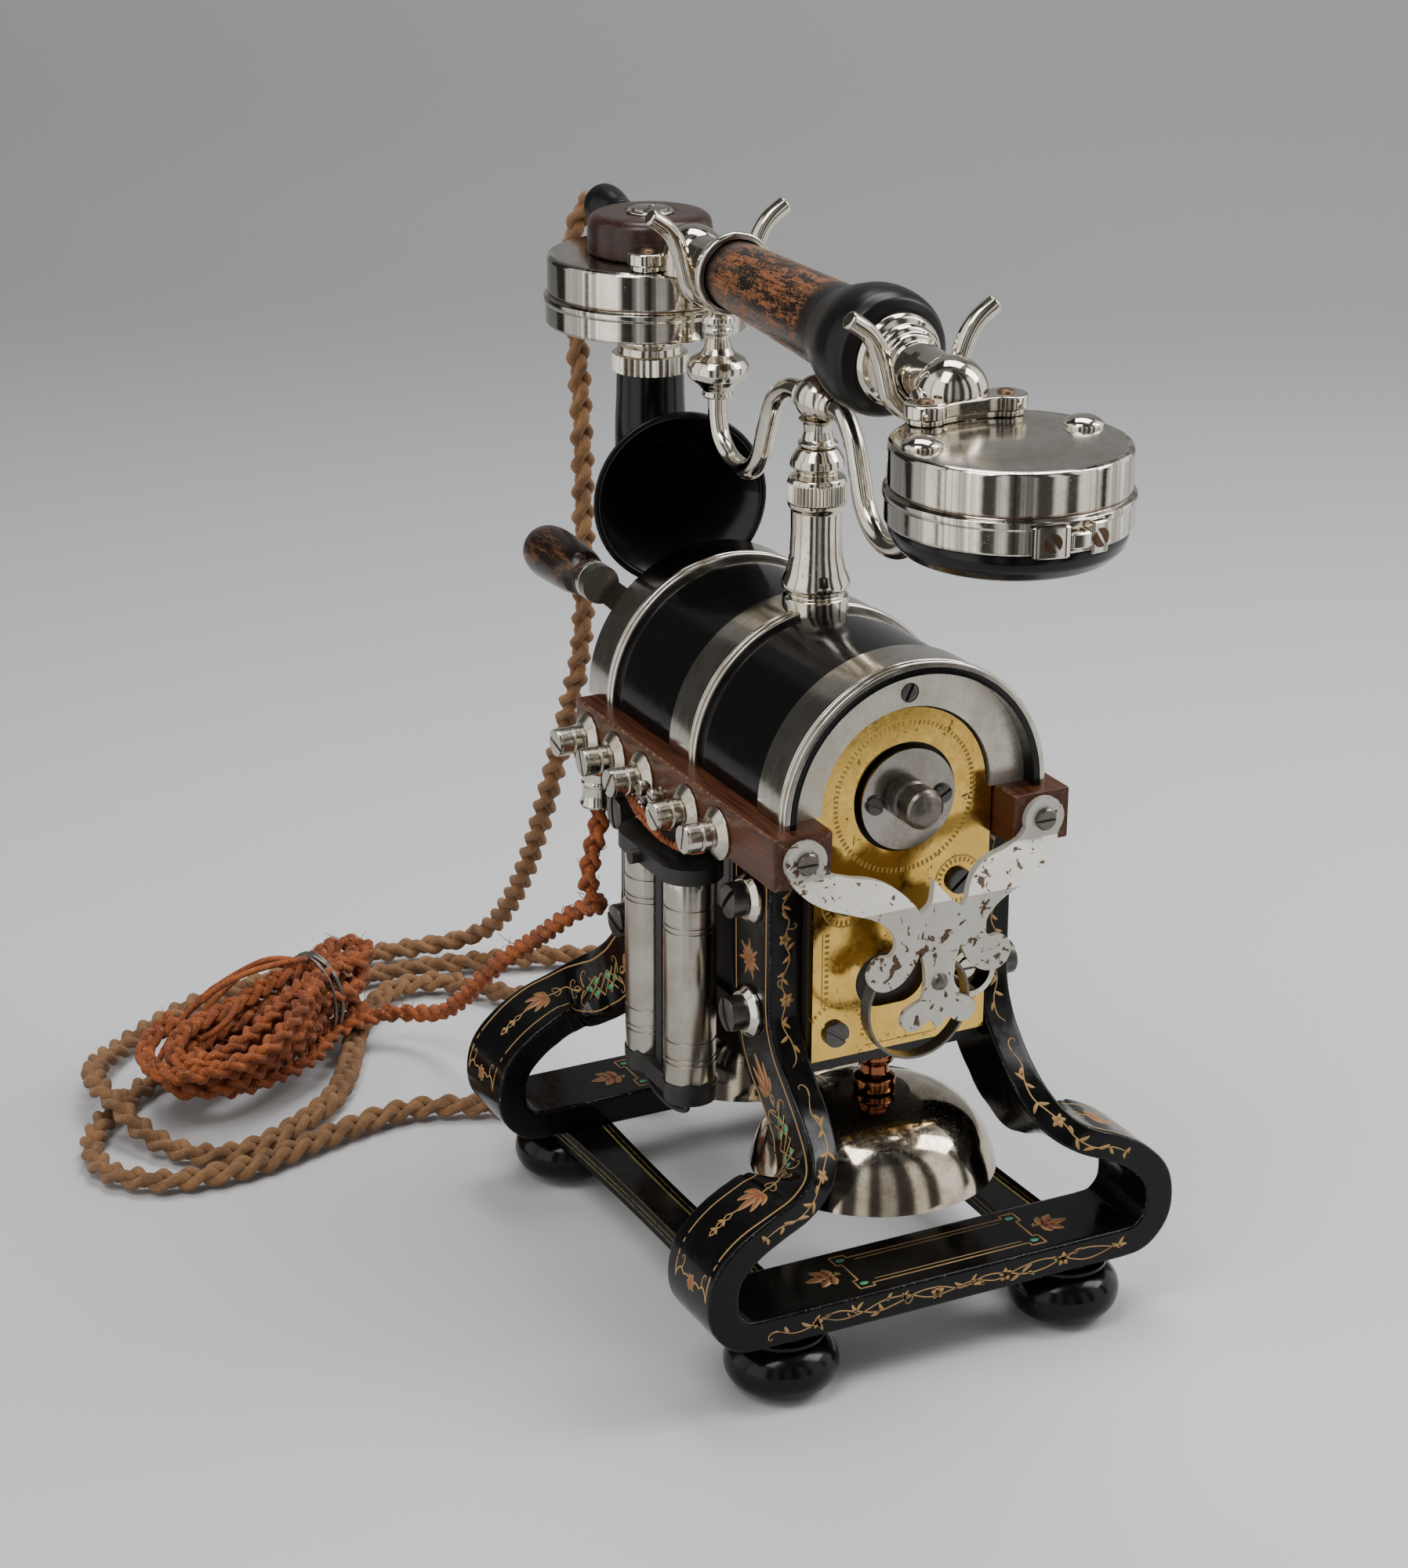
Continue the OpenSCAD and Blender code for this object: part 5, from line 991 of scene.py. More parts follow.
def side_ornament(ink):
    """The outer face of a leg: lines near its edges, star, lotus flowers, scrolls and a lattice."""
    mid = 12.8
    ink.stroke([(2, 2.3), (30, 2.3), (60, 2.4), (75, 3.0), (90, 3.4), (105, 2.6), (120, 2.3), (135, 3.2), (148.5, 2.6)],
               0.62, shape="even", n=6)
    ink.stroke([(2, 21.4), (30, 21.4), (60, 20.6), (75, 20.2), (90, 20.8), (105, 21.6), (120, 22.4), (135, 22.6),
                (149, 22.0)], 0.5, shape="even", n=6)
    for y, way in ((2.6, 1), (22.0, -1)):
        ink.stroke([(148.7, y), (146.5, y + way * 1.2), (145.6, y + way * 3.0), (146.6, y + way * 4.8)], 0.5)
        ink.curl(146.6, y + way * 4.8, 110 * way, 6, -way, 0.9)
        ink.curl(145.6, y + way * 3.2, 150 * way, 4, way, 0.9, 0.4)
    ink.floret(147, 12.4, 2.4, 6, "red")
    for k in range(14):
        ink.leaf(33.5, mid, 360 * k / 14, 6.4 if k % 2 else 4.2, 1.2, 0, "red")
    ink.gem(33.5, mid, 2.4, 1.35)
    ink.lotus(65.2, 14.2, 180, 8.6)
    ink.stroke([(65, 14.2), (67, 13.6), (70, 13)], 0.5)
    for s, way in ((71.5, 1), (92.5, -1)):
        for a in (1, -1):
            ink.curl(s, mid + a * 0.6, 90 * a + 40 * a * way, 7.5, -a * way, 0.85)
            ink.curl(s - way * 2.2, mid + a * 0.3, 90 * a + 55 * a * way, 4.2, a * way, 0.9, 0.4)
    for c in (-12, -8, -4, 0, 4, 8, 12):
        for slope in (1, -1):
            pts = [(82 + c + slope * v, mid + v * 0.95) for v in (-4, 4)]
            if all(69.9 <= s <= 94.1 for s, _ in pts):
                ink.ruled(pts, 0.5)
    for s, a in ((74.2, 0), (78.1, 2.0), (78.1, -2.0), (89.8, 0), (85.9, 2.0), (85.9, -2.0)):
        ink.gem(s, mid + a, 1.6, 1.0)
    ink.stroke([(93.5, mid), (99, mid + 0.6), (106, mid - 0.4), (112, mid + 0.4), (117, mid + 0.2)])
    for s, a, way in ((100, 90, 1), (101, -90, -1), (108, 60, -1), (108.5, -60, 1)):
        ink.curl(s, mid, a, 6, way, 0.9)
    ink.lotus(116.5, mid + 0.4, 0, 9.5)
    ink.stroke([(125, mid + 0.6), (127.5, mid + 0.9)], 0.5)
    for k, s in enumerate((128.8, 131.6, 134.2)):
        ink.diamond(s, mid + 1.0, 1.5 - 0.15 * k, 1.15 - 0.1 * k)
        for a in (60, -60) if k < 2 else ():
            ink.leaf(s + 1.2, mid + 1.0, a, 2.2, 0.7)


def front_ornament(ink):
    """The narrow front face of a leg: two vines."""
    ink.stroke([(3, 0.2), (8, 1.4), (13, -1.3), (18, 0.9), (24, -0.6), (30, 1.3), (37, -1.4), (43, 0.2), (50, -1.3),
                (56, 0.8), (61, 0.9), (63.5, -1.2)], 0.42, n=6)
    ink.leaves([(s, a, angle, 3.1) for s, a, angle in (
        (5, 0.8, 140), (9, 1.2, -60), (13, -1.2, 60), (17, 0.6, -140), (27, 0.6, 130), (29, 1.2, -50), (34, 0, -70),
        (36, -1.2, 40), (50, -1.2, 50), (51, -1, 150), (54, 0, -60), (57, 0.9, 30))], 1, 1.0, 0.2)
    ink.floret(23.6, -0.4, 2.2, 5)
    ink.floret(43, 0.4, 2.4, 6)
    ink.curl(20, 0.4, 60, 4, 1, 0.9)
    ink.curl(39, -1, -120, 4, -1, 0.9)
    ink.curl(73, 0.6, 170, 5.5, 1, 0.85)
    ink.stroke([(73, 0.6), (78, -0.8), (83, 0.8), (89, 1.2), (95, -0.4), (101, -1.2), (107, 0.4), (114, 1.0),
                (120, -0.4), (126.5, -0.2)], 0.42, n=6)
    ink.leaves([(79, -0.6, 40, 3.4), (83, 0.8, 150, 4.2), (84, 0.8, -40, 3.6), (91, 0.6, 55, 4.2), (91, 0.6, -55, 4.2),
                (105, -0.2, -150, 3.4), (107, 0.4, 50, 4.4), (108, 0.5, -45, 4), (114, 1, 150, 4.6), (115, 1, -30, 4.6),
                (119, 0, 40, 3), (125, 0, 70, 2.4), (125, 0, -70, 2.4)], 0.85, 1.05, 0.25)
    ink.floret(99, -0.8, 2.3, 5)


def bar_ornament(ink):
    """The outer face of a base bar: two stems that cross between leaves and florets."""
    ink.curl(-57, 0.2, 175, 5, 1, 0.95)
    ink.stroke([(-57, 0.2), (-52, -1.6), (-47, -1.2), (-43, 0.6), (-37, 1.8), (-31, 0.2), (-24, -1.6), (-17, -0.4),
                (-9, 1.6), (-2, 1.2), (5, -0.8), (13, 1.2), (20, 0.4), (27, -1.6), (34, -1.4), (40, 0.4), (48, 2.0),
                (56.5, 0.6), (61, -1.2)], 0.42, n=6)
    ink.stroke([(-41, 0.2), (-36, -1.2), (-29, -0.6), (-22, 1.6), (-14, 1.4), (-6, -1.2), (2, -0.6), (9, 0.6),
                (17, -1.2), (25, 0.8), (33, 1.8), (41, 0.2), (48, -1.8), (54, -1.2), (60, 0.8)], 0.38, n=6)
    ink.leaves([(-53.5, -0.9, 120, 3), (-46, -0.8, 150, 4.6), (-45, -0.8, 60, 4.2), (-44, -0.2, -60, 4),
                (-42, 0.4, 20, 3.6), (-31, 0.2, 120, 3.6), (-31, 0.2, 50, 4), (-23, -1.4, 200, 4),
                (-22, -1.4, 120, 3.2), (-20.5, 1, 60, 3.4), (-15, 0.2, 60, 3.6), (-14, 0, 120, 3.4),
                (6, -0.6, 150, 5), (8, -0.8, 60, 4.6),
                (9, -0.8, -10, 4.6), (11, 0.6, -60, 3.4), (25, -1, 210, 4.2), (26, -1, 30, 4.6), (28, -1.4, -30, 3),
                (39, 0, 140, 3.4), (44, 1, 20, 4), (61, -0.6, 150, 4), (60.5, -0.4, 60, 4), (60.5, -0.6, 10, 3.4)],
               0.85, 1.0, 0.25)
    for x, z, r in ((-44, -0.4, 1.8), (-3.5, -0.3, 2.3), (20, -0.2, 2.3), (40.5, 0.1, 2.4)):
        ink.floret(x, z, r, 5)
    ink.curl(-34, 0.4, -60, 4, 1, 0.9)
    ink.curl(-12, 0.8, -100, 4, -1, 0.85, 0.4)


def cartouche(ink):
    """The upper face of a base bar: a notched double border left bare inside, gems, and two leaves."""
    left, right, low, high, notch, cut = -27.5, 36.8, 4.0, 24.0, 1.8, 5.0
    corners = [complex(left, low), complex(right, low), complex(right, high), complex(left, high)]
    loop = []
    for p, q in zip(corners, corners[1:] + corners[:1]):
        along = (q - p) / abs(q - p)
        inward = along * 1j * notch
        loop += [p, p + cut * along, p + cut * along + inward, q - cut * along + inward, q - cut * along]
    for p, q in zip(loop, loop[1:] + loop[:1]):
        ink.ruled([(p.real, p.imag), (q.real, q.imag)], 0.55)
    for z in (low + 3.6, high - 3.6):
        ink.ruled([(left + 6.8, z), (right - 6.8, z)], 0.35)
    for x in (left + 2.6, right - 2.6):
        for y in (low + 2.6, high - 2.6):
            ink.gem(x, y, 1.5, 0.85)
    ink.maple(-32, 14.2, -1, 8.6)
    ink.maple(41.4, 13.8, 1, 8.6)


def paint():
    for sy, end in ENDS:
        ink = Ink()
        for sx, _ in SIDES:
            for face, ornament in (("side", side_ornament), ("front", front_ornament)):
                ink.surf = strip_face(face, sx, sy)
                ornament(ink)
        for face, ornament in (("outer", bar_ornament), ("upper", cartouche)):
            ink.surf = bar_face(face, sy)
            ornament(ink)
        ink.done("painted_ornament_" + end)


# --- Turned and bent metal ----------------------------------------------------

def polar(cx, cy, r, degrees):
    """Points on an arc."""
    a = np.radians(degrees)
    return np.stack([cx + r * np.cos(a), cy + r * np.sin(a)], -1)


def arch(profile, name, look, stands_for, sharp):
    """A closed (radius, y) section carried round the upper half of the barrel."""
    r, y = np.array(profile, float).T
    a = np.radians(np.linspace(-1.4, 181.4, 121))[:, None]
    rings = np.stack([r * np.cos(a), np.broadcast_to(y, (len(a), len(y))), AXIS_Z + r * np.sin(a)], 2)
    piece(name, [grid(rings, True, True)], look, stands_for, sharp=sharp)


def slotted(r, low, high, where, slot, deep, edge, crown=0.0):
    """A screw's head: a turned body and two raised halves beside its slot."""
    floor = high - deep
    parts = [lathe([(0, floor), (r, floor), (r, low), (0, low)], where, 40)]
    for s in (1, -1):
        rings = []
        for inset, z in ((0, floor - 0.05), (0, high - edge), (edge * 0.3, high - edge * 0.3), (edge, high)):
            rr = r - inset
            a0 = math.asin(min(0.99, (slot / 2 + inset * 0.3) / rr))
            arc = [(rr * math.cos(a), s * rr * math.sin(a), z) for a in np.linspace(a0, math.pi - a0, 20)]
            rings.append(arc if s > 0 else arc[::-1])
        if crown:
            rings.append([(x * 0.45, y * 0.55 + s * slot * 0.25, high + crown) for x, y, _ in rings[-1]])
        parts.append(move(grid(np.array(rings), True, True), where))
    return parts


def feet():
    swell = [(9.5 + 7.8 * math.cos(a), 10.44 * (1 + math.sin(a)) / 1.05 * 0.8 + 0.4)
             for a in np.radians(range(-80, 81, 8))]
    profile = [(0, 0), (9.2, 0)] + swell + [(8.65, FOOT_H - 0.6), (8.65, FOOT_H), (13, FOOT_H), (13, STRAP_Z),
                                            (0, STRAP_Z)]
    for sx, side in SIDES:
        for sy, end in ENDS:
            foot = lathe(profile, at(sx * FOOT_X, STAND_Y + sy * FOOT_Y, 0), 72)
            piece(f"bun_foot_{end}_{side}", [foot], "japan", f"foot_{end}_{side}", sharp=40)


def barrel():
    half, width, bead, skin = 66.5, 18, 0.8, 41.5
    arch([(skin, 0.3 - half), (skin, half - 0.3), (skin - 0.3, half), (39.5, half), (39.5, -half), (skin - 0.3, -half)],
         "barrel_shell", "barrel", "barrel_cover", 60)
    for y, name in ((-half, "front"), (-width / 2, "middle"), (half - width, "rear")):
        section = [(41.55, y + width), (41.55, y)]
        for c in (bead, 3.04):
            section += [(42.65 + bead * math.sin(t), y + c - bead * math.cos(t)) for t in np.linspace(0, math.pi, 9)]
            section += [(42.5, y + c + bead + 0.2)]
        section += [(42.75, y + 4.3), (42.95, y + 4.6), (42.95, y + width - 0.4), (42.7, y + width)]
        arch(section, f"band_{name}_turned", "bands", "band_" + name, 50)


def leg_screws():
    washers, heads = [], []
    turn = iter((25, -40, 70, 10, -15, 50, 85, -60))
    for sx, _ in SIDES:
        for sy, _ in ENDS:
            for z in (KICK, 140.5):
                where = at(sx * (LEG_X + LEG_T / 2 + 0.05), STAND_Y + sy * 38.8, z, (next(turn), "Z"), (90 * sx, "Y"))
                washers.append(lathe([(0, 0), (8, 0), (8, 1.3), (6.2, 3.1), (0, 3.1)], where, 64, 0.3))
                heads += slotted(5.3, 3.0, 8.0, where, 1.3, 1.3, 0.5, 0.35)
    piece("leg_screw_washers", washers, "polished", "leg_screws")
    piece("leg_screw_heads", heads, "screw", "leg_screws")


def terminals():
    profile = [(0, 0), (7.9, 0), (8, 0.7), (6.9, 1.5), (5.3, 2.7), (4.0, 3.0), (4.0, 3.6), (4.4, 3.9), (4.4, 6.2),
               (3.9, 6.5), (3.9, 6.9), (4.4, 7.2), (4.4, 10.8), (0, 10.8)]
    posts, ends, small = [], [], []
    for y, turn in zip(TERMINAL_YS, (75, 20, -35, 60, -10)):
        where = at(TERMINAL_X, y, TERMINAL_Z, (turn, "Z"), (-90, "Y"))
        posts.append(lathe(profile, where, 48, 0.2))
        ends += slotted(4.35, 10.6, 11.8, where, 1.1, 1.2, 0.35)
    piece("terminal_posts", posts + ends, "terminal", "terminals")
    for y, turn in ((8.9, 30), (0.8, 80)):
        where = at(TERMINAL_X, y, TERMINAL_Z - 1, (turn, "Z"), (-90, "Y"))
        small.append(lathe([(0, 0), (2.6, 0), (2.6, 0.5), (1.6, 0.8), (1.6, 2.6), (0, 2.6)], where, 32))
        small += slotted(2.5, 2.4, 4.4, where, 0.8, 0.8, 0.3)
    piece("terminal_screws", small, "terminal", "terminals")


def plate_screws():
    face, disc_face, heads = 59.2, 61.6, []
    for sy, _ in ENDS:
        def head(x, past, z, turn, *sizes):
            return slotted(*sizes[:3], at(x, sy * past, z, (turn, "Z"), (-90 * sy, "X")), *sizes[3:])

        for sx, _ in SIDES:
            heads += head(sx * 19, face, 141.3, 40 * sx, 4.0, -0.4, 1.8, 1.0, 0.9, 0.35)
            heads += head(sx * 21.6, face, 99.6, 15 + 50 * sx, 4.0, -0.4, 1.8, 1.0, 0.9, 0.35)
            heads += head(sx * 11.2, disc_face, AXIS_Z, 30 * sx, 2.9, -0.4, 1.2, 0.8, 0.7, 0.3)
        heads += head(0, face + 0.05, 203.45, 65, 2.8, -0.4, 1.4, 0.8, 0.7, 0.3)
    piece("plate_screw_heads", heads, "screw", "plate_screws")


def bells():
    curve = smooth([(0.28, 1), (0.46, 0.94), (0.64, 0.84), (0.79, 0.68), (0.89, 0.48), (0.95, 0.27), (0.985, 0.1),
                    (1, 0)], 6)
    profile = [(3, 24), *(curve * (37.8, 24)), (37.3, -0.25), (36.4, -0.25), *(curve[::-1] * (36, 22.2)), (3, 22.2),
               (3, 24)]
    spindle = [(0, -6.8), (2.9, -6.8), (2.9, 0), (4.4, 0.1), (4.4, 0.6), (0, 0.6)]
    nut = [(0, 0.6), (6.4, 0.6), (6.6, 2.2), (6.6, 4.6), (5.6, 5.4), (4.4, 6.2), (4.3, 9.2), (5.8, 10.2), (6.1, 11.6),
           (6.0, 13), (4.6, 13.8), (4.4, 16), (0, 16)]
    apart, rim, height = 42.5, 47, 24
    for sy, end in ENDS:
        y, crown = STAND_Y + sy * apart, rim + height
        piece("bell_" + end, [lathe(profile, at(0, y, rim), 128)], "bell", "gong_" + end, sharp=30)
        turned = [lathe(spindle, at(0, y, crown), 48, 0.2), lathe(nut, at(0, y, crown), 48, 0.4)]
        piece("spindle_" + end, turned, "copper", "gong_post_" + end, sharp=40)


def coils():
    x, apart, base = -48.2, 13.4, 72
    profile = [(0, 0), (7.6, 0), (7.9, 0.4), (8.0, 3.2)]
    for z in (7.6, 9.4, 15.0, 51.0, 52.8, 58.6):
        profile += [(8.1, z - 0.5), (7.75, z - 0.25), (7.75, z + 0.25), (8.1, z + 0.5)]
    profile += [(8.1, 64.4), (7.8, 66.6), (7.3, 67.2), (0, 67.4)]
    tubes = [lathe(profile, at(x, STAND_Y + y, base), 72) for y in (-apart, apart)]
    piece("coil_tubes", tubes, "coil", "coils", sharp=50)
    rnd, a, caps = np.random.default_rng(7), circle(72), []
    for y in (-apart, apart):
        rag = np.append(rnd.uniform(-1.5, 1.3, 24), 0)
        rag = np.interp(np.arange(72), np.linspace(0, 72, 25), rag, period=72)
        caps.append(grid([np.stack([x + r * np.cos(a), STAND_Y + y + r * np.sin(a), z + 0.6 * rag * torn], 1)
                          for r, z, torn in ((0.1, 66.2, 0), (7.4, 66.1, 0), (8.0, 66.8, 0), (8.35, 69.5, 0.2),
                                             (8.4, 72.0, 0.6), (8.15, 72.6, 1), (7.9, 72.4, 1))]))
    piece("coil_lower_caps", caps, "inner", sharp=60)
    wire = smooth([(x, STAND_Y + y, z) for x, y, z in (
        (-49, -13, 66.4), (-50, -15, 62.5), (-51, -8, 60.4), (-51, 2, 60.2), (-50, 12, 61.5), (-49, 14, 66.4))], 8)
    piece("coil_wire", [tube(wire, 0.9, 10)], "inner", sharp=0)


def leads_and_gland():
    ys, x, z, parts = TERMINAL_YS, -53.4, TERMINAL_Z - 4.2 - 0.6, []
    for y0, y1, sag, out in ((ys[0] - 1, ys[1] + 1, 1.5, 0.5), (ys[2] - 1.3, ys[3] + 1, 2, 0.5),
                             (ys[2] + 1.3, ys[4] + 1, 5, 1)):
        hung = [(x - out * k, blend(y0, y1, t), z - sag * d)
                for t, d, k in ((0.2, 0.6, 1), (0.5, 1, 1), (0.8, 0.7, 0.6))]
        path, along = evenly(smooth([(x, y0, z), *hung, (x, y1, z)], 6), 0.6)
        t, s, b = side_frames(path, (1, 0, 0))
        for k in range(2):
            a = 2 * np.pi * (along / 5.2 + k / 2)
            line = path + 0.6 * (np.cos(a)[:, None] * s + np.sin(a)[:, None] * b)
            parts.append(tube(line, 0.66 + 0.06 * np.sin(along * 1.7), 8, frames=(t, s, b)))
        parts += frays(path, 1.0, 14, (0.8, 2.0), 21 + int(sag), 0.4)
    piece("terminal_leads", parts, "orange", "leads", sharp=0)
    length = 16
    gland = [(0, 0.6), (4.2, 0.6), (4.4, 0), (5.4, 0.1), (5.9, 1), (5.3, 2.2), (5.0, 4), (5.0, 7), (5.4, 7.4),
             (5.4, 8.4), (5.0, 8.8), (5.1, 12.2), (5.8, 13.6), (5.8, length), (0, length)]
    where = at(*LINE_ROUTE[0][:2], RAIL_Z - length)
    piece("cord_gland_turned", [lathe(gland, where, 48, 0.25)], "nickel", "cord_gland")


POST_Y = -3.2
HOOK_Y, GRIP_R = 62.3, 8.0      # the forks' places under the handset, and the neck that lies in them


def fluted(z, r, depth, flutes, y, sides):
    """A ring of points about Z at y, with shallow flutes."""
    a = circle(sides)
    r = r + depth * np.sin(a * flutes)
    return np.stack([r * np.cos(a), r * np.sin(a) + y, np.full(sides, z)], 1)


def post():
    r, f, low, high = 7.8, 213.95, 245.4, 251.8
    foot = [(0, f - 3), (10, f - 3), (10, f + 2.4), (8.8, f + 3.2), (8.8, f + 4), (r + 2.6, f + 5.4), (r + 2.6, f + 7),
            (r + 1.2, f + 10.4), (r + 0.2, f + 15), (r - 0.1, 236), (r, 243), (r + 0.9, 244.2), (r + 1.0, low)]
    top = [(r + 1.0, high), (r + 0.7, 253), (r - 1.6, 254.4), (r - 1.6, 255), (r + 0.5, 256.4), (r + 0.2, 258.6),
           (r - 1.5, 261.4), (r - 2, 262), (0, 262)]
    a = circle(192)
    knurl = []
    for z in np.linspace(low, high, 27):
        rr = r + 0.85 + 0.42 * min(1, (z - low) / 0.5, (high - z) / 0.5) * np.abs(np.sin(a * 24))
        knurl.append(np.stack([rr * np.cos(a), rr * np.sin(a) + POST_Y, np.full(len(a), z)], 1))
    where = at(0, POST_Y, 0)
    piece("post_turned", [lathe(foot, where, r=0.5), lathe(top, where, r=0.5), grid(knurl)], "post", "post")


def fork(s):
    """One end of the cradle: its turned socket and two horns that hold the handset's neck."""
    y, z = s * HOOK_Y, HAND_Z + s * HOOK_Y * math.sin(TILT)
    r, horn_r = GRIP_R + 0.3 + 3, 2.75
    low = z - r - 3
    socket = [(0, -27), (4.4, -27), (5, -26.2), (4.4, -25), (4.9, -24.2), (6.4, -22.6), (9, -20.6), (9.8, -18.6),
              (9.8, -16.6), (8.6, -14.6), (5.6, -13), (4.2, -11), (3.7, -8.6), (3.9, -7), (4.9, -6.2), (4.9, -5),
              (4.4, -4.4), (5.4, -3), (5.0, -1.2), (3, 0.8), (0, 1.2)]
    parts = [lathe(socket, at(0, y, low), 64, 0.5),
             lathe([(0, 255), (3, 255), (3, low - 26.5), (0, low - 26.5)], at(0, y, 0), 32)]
    for sx, _ in SIDES:
        pts = [*polar(0, z, r, range(-90, -19, 14)), (r + 2, z + 6), (r + 5.6, z + 12.4), (r + 11.4, z + 16.7)]
        line = smooth([(sx * x, y, zz) for x, zz in pts], 6)
        ahead, q = unit(line[-1] - line[-2]), np.linspace(0.2, 1.5, 7)
        tip = line[-1] + ahead * 0.9 * np.sin(q)[:, None]
        radii = [*np.linspace(2.95, horn_r, len(line)), *(horn_r - 0.9 * (1 - np.cos(q)))]
        parts.append(tube(np.concatenate([line, tip]), radii, 24, (0, 1, 0)))
    return parts


def cradle():
    where, mid = at(0, POST_Y, 0), 276
    stem = [(0, 250), (4, 250), (4, 262.3), (5.4, 262.3), (6.2, 263.4), (4.8, 264.6), (4.2, 267), (4.6, 269.4),
            (6, 270.6), (0, 270.6)]
    ball = [(7.2 * math.sin(q), mid + 0.6 - 7.2 * math.cos(q)) for q in np.linspace(0, math.pi, 33)]
    collar = [(0, 0), (4.6, 0), (4.9, 0.9), (4.2, 1.8), (4.6, 2.8), (3.6, 4.4), (0, 4.4)]
    parts = [lathe(stem, where, 64, 0.35), lathe(ball, where, 72)]
    parts += [lathe(collar, at(0, POST_Y + s * 5.6, mid, (-s * 90, "X")), 48, 0.3) for s, _ in ENDS]
    arms = {-1: [(19, 275), (25, 268.5), (28.6, 260), (32.4, 251), (38.2, 245.5), (46, 243.3), (54, 244.8),
                 (60, 249.6)],
            1: [(14.8, 275.5), (23.8, 270), (28.8, 260), (32.8, 250), (38.8, 244.5), (45.8, 243), (53.8, 244.5),
                (60, 249.4)]}
    for s, arm in arms.items():
        path = smooth([(0, POST_Y + s * 8.2, mid)] + [(0, s * y, z) for y, z in arm + [(HOOK_Y, 256)]], 7)
        parts.append(tube(path, 3 + 0.25 * np.sin(np.pi * np.linspace(0, 1, len(path))), 24, (1, 0, 0)))
        parts += fork(s)
    piece("cradle_bent", parts, "nickel", "cradle", body="cradle", sharp=50)


# --- Handset ------------------------------------------------------------------

def carried(name, parts, look, *stands_for, body="handset", sharp=40):
    return piece(name, parts, look, *stands_for, body=body, sharp=sharp)


def bone(s, inset):
    """The outline of a lug at one end: two round ears with hollowed edges between them."""
    ear_x, ear_y, r, waist = 12.6, 86.6, 6.1 - inset, 3.9 - inset
    half = []
    for q in np.linspace(0, math.pi, 61):
        x = (ear_x + r) * math.cos(q)
        ear = r * r - (abs(x) - ear_x) ** 2
        ear = math.sqrt(ear) if ear > 0 and abs(x) > 6.6 else 0.0
        dip = waist + 2.2 * min(1, max(0, (abs(x) - 4.0) / 8.6)) ** 2 if abs(x) < ear_x else 0.0
        half.append((x, max(ear, dip)))
    return [(x, s * (ear_y - y)) for x, y in half + [(x, -y) for x, y in half[-2:0:-1]]]


def handset():
    axis, r, neck = at(0, 0, HAND_Z, (math.degrees(TILT) - 90, "X")), 18.8, GRIP_R
    bulb = rounded([(0, -48), (14, -48), (r * 0.9, -46.8), (r * 0.97, -44), (r, -40.5), (r, -36.5)], 0.8) + curved(
        [(r * 0.99, -35), (r * 0.96, -32), (r * 0.86, -26), (r * 0.745, -20.4), (13.2, -16.4), (12.95, -15)], 5)
    carried("ebonite_bulb", [lathe(bulb + [(0, -15)], axis)], "bulb", "handset_grip", sharp=50)
    grip = curved([(12.9, -15.2), (12.7, -10), (12.1, 6), (11.4, 26), (10.7, 44), (10.3, 54)], 6)
    grip = carried("wooden_grip", [lathe([(0, -15.2), *grip, (0, 54)], axis)], "grip", "handset_grip", sharp=50)
    front = [(0, -79), (neck - 0.2, -79), (neck - 0.2, -68), (neck, -65), (neck, -59), (9.4, -58.4), (9.8, -57),
             (9.4, -55.6), (10.6, -55), (11.4, -53.4), (10.8, -52), (12.6, -51.4), (13.6, -49.8), (13, -48.1),
             (0, -48.1)]
    rear = [(0, 54.1), (10.7, 54.1), (10.9, 50.2), (12.6, 50), (13.2, 50.8), (12.6, 53.4), (10.9, 56.4), (9.2, 58),
            (neck + 0.3, 59.4), (neck, 60.5), (neck, 65), (7, 66), (7, 79), (0, 79)]
    parts, rivets = [lathe(front, axis, r=0.4), lathe(rear, axis, r=0.4)], []
    for (s, _), (_, base) in zip(ENDS, CAPSULES):
        cap = base + CAP_H
        rise = HAND_Z + s * 79 * math.sin(TILT) - cap - 1
        dome = [(0, 0.05), (10.4, 0.05), (10.4, 5.0), (10.1, 5.6), (10.1, rise)]
        dome += [(10.1 * math.cos(q), rise + 10 * math.sin(q)) for q in np.linspace(0.06, math.pi / 2, 18)]
        parts.append(lathe(dome, at(0, s * 79, cap), 80))
        for low, high, grow in ((2.0, 5.9, 0.0), (0.05, 2.1, -1.0)):
            levels = ((low, 0.3), (low + 0.3, 0), (high - 0.7, 0), (high - 0.25, 0.2), (high, 0.7))
            parts.append(grid([[(*p, cap + z) for p in bone(s, inset - grow)] for z, inset in levels], True, True))
        rivets += [lathe([(0, 0), (2.5, 0), (2.3, 0.5), (1.6, 0.9), (0.6, 1.05), (0, 1.08)],
                         at(x, s * 86.4, cap + 5.85), 32) for x in (-12.6, 12.6)]
    button = [(0, 0), (3.6, 0), (3.8, 1.4), (3.0, 2.2), (0, 2.4)]
    parts.append(lathe(button, at(-9.2, -78.5, HAND_Z - 5.5, (-90, "Y")), 40, 0.3))
    carried("handset_necks", parts, "polished", "handset_fittings")
    carried("lug_rivets", rivets, "rust")


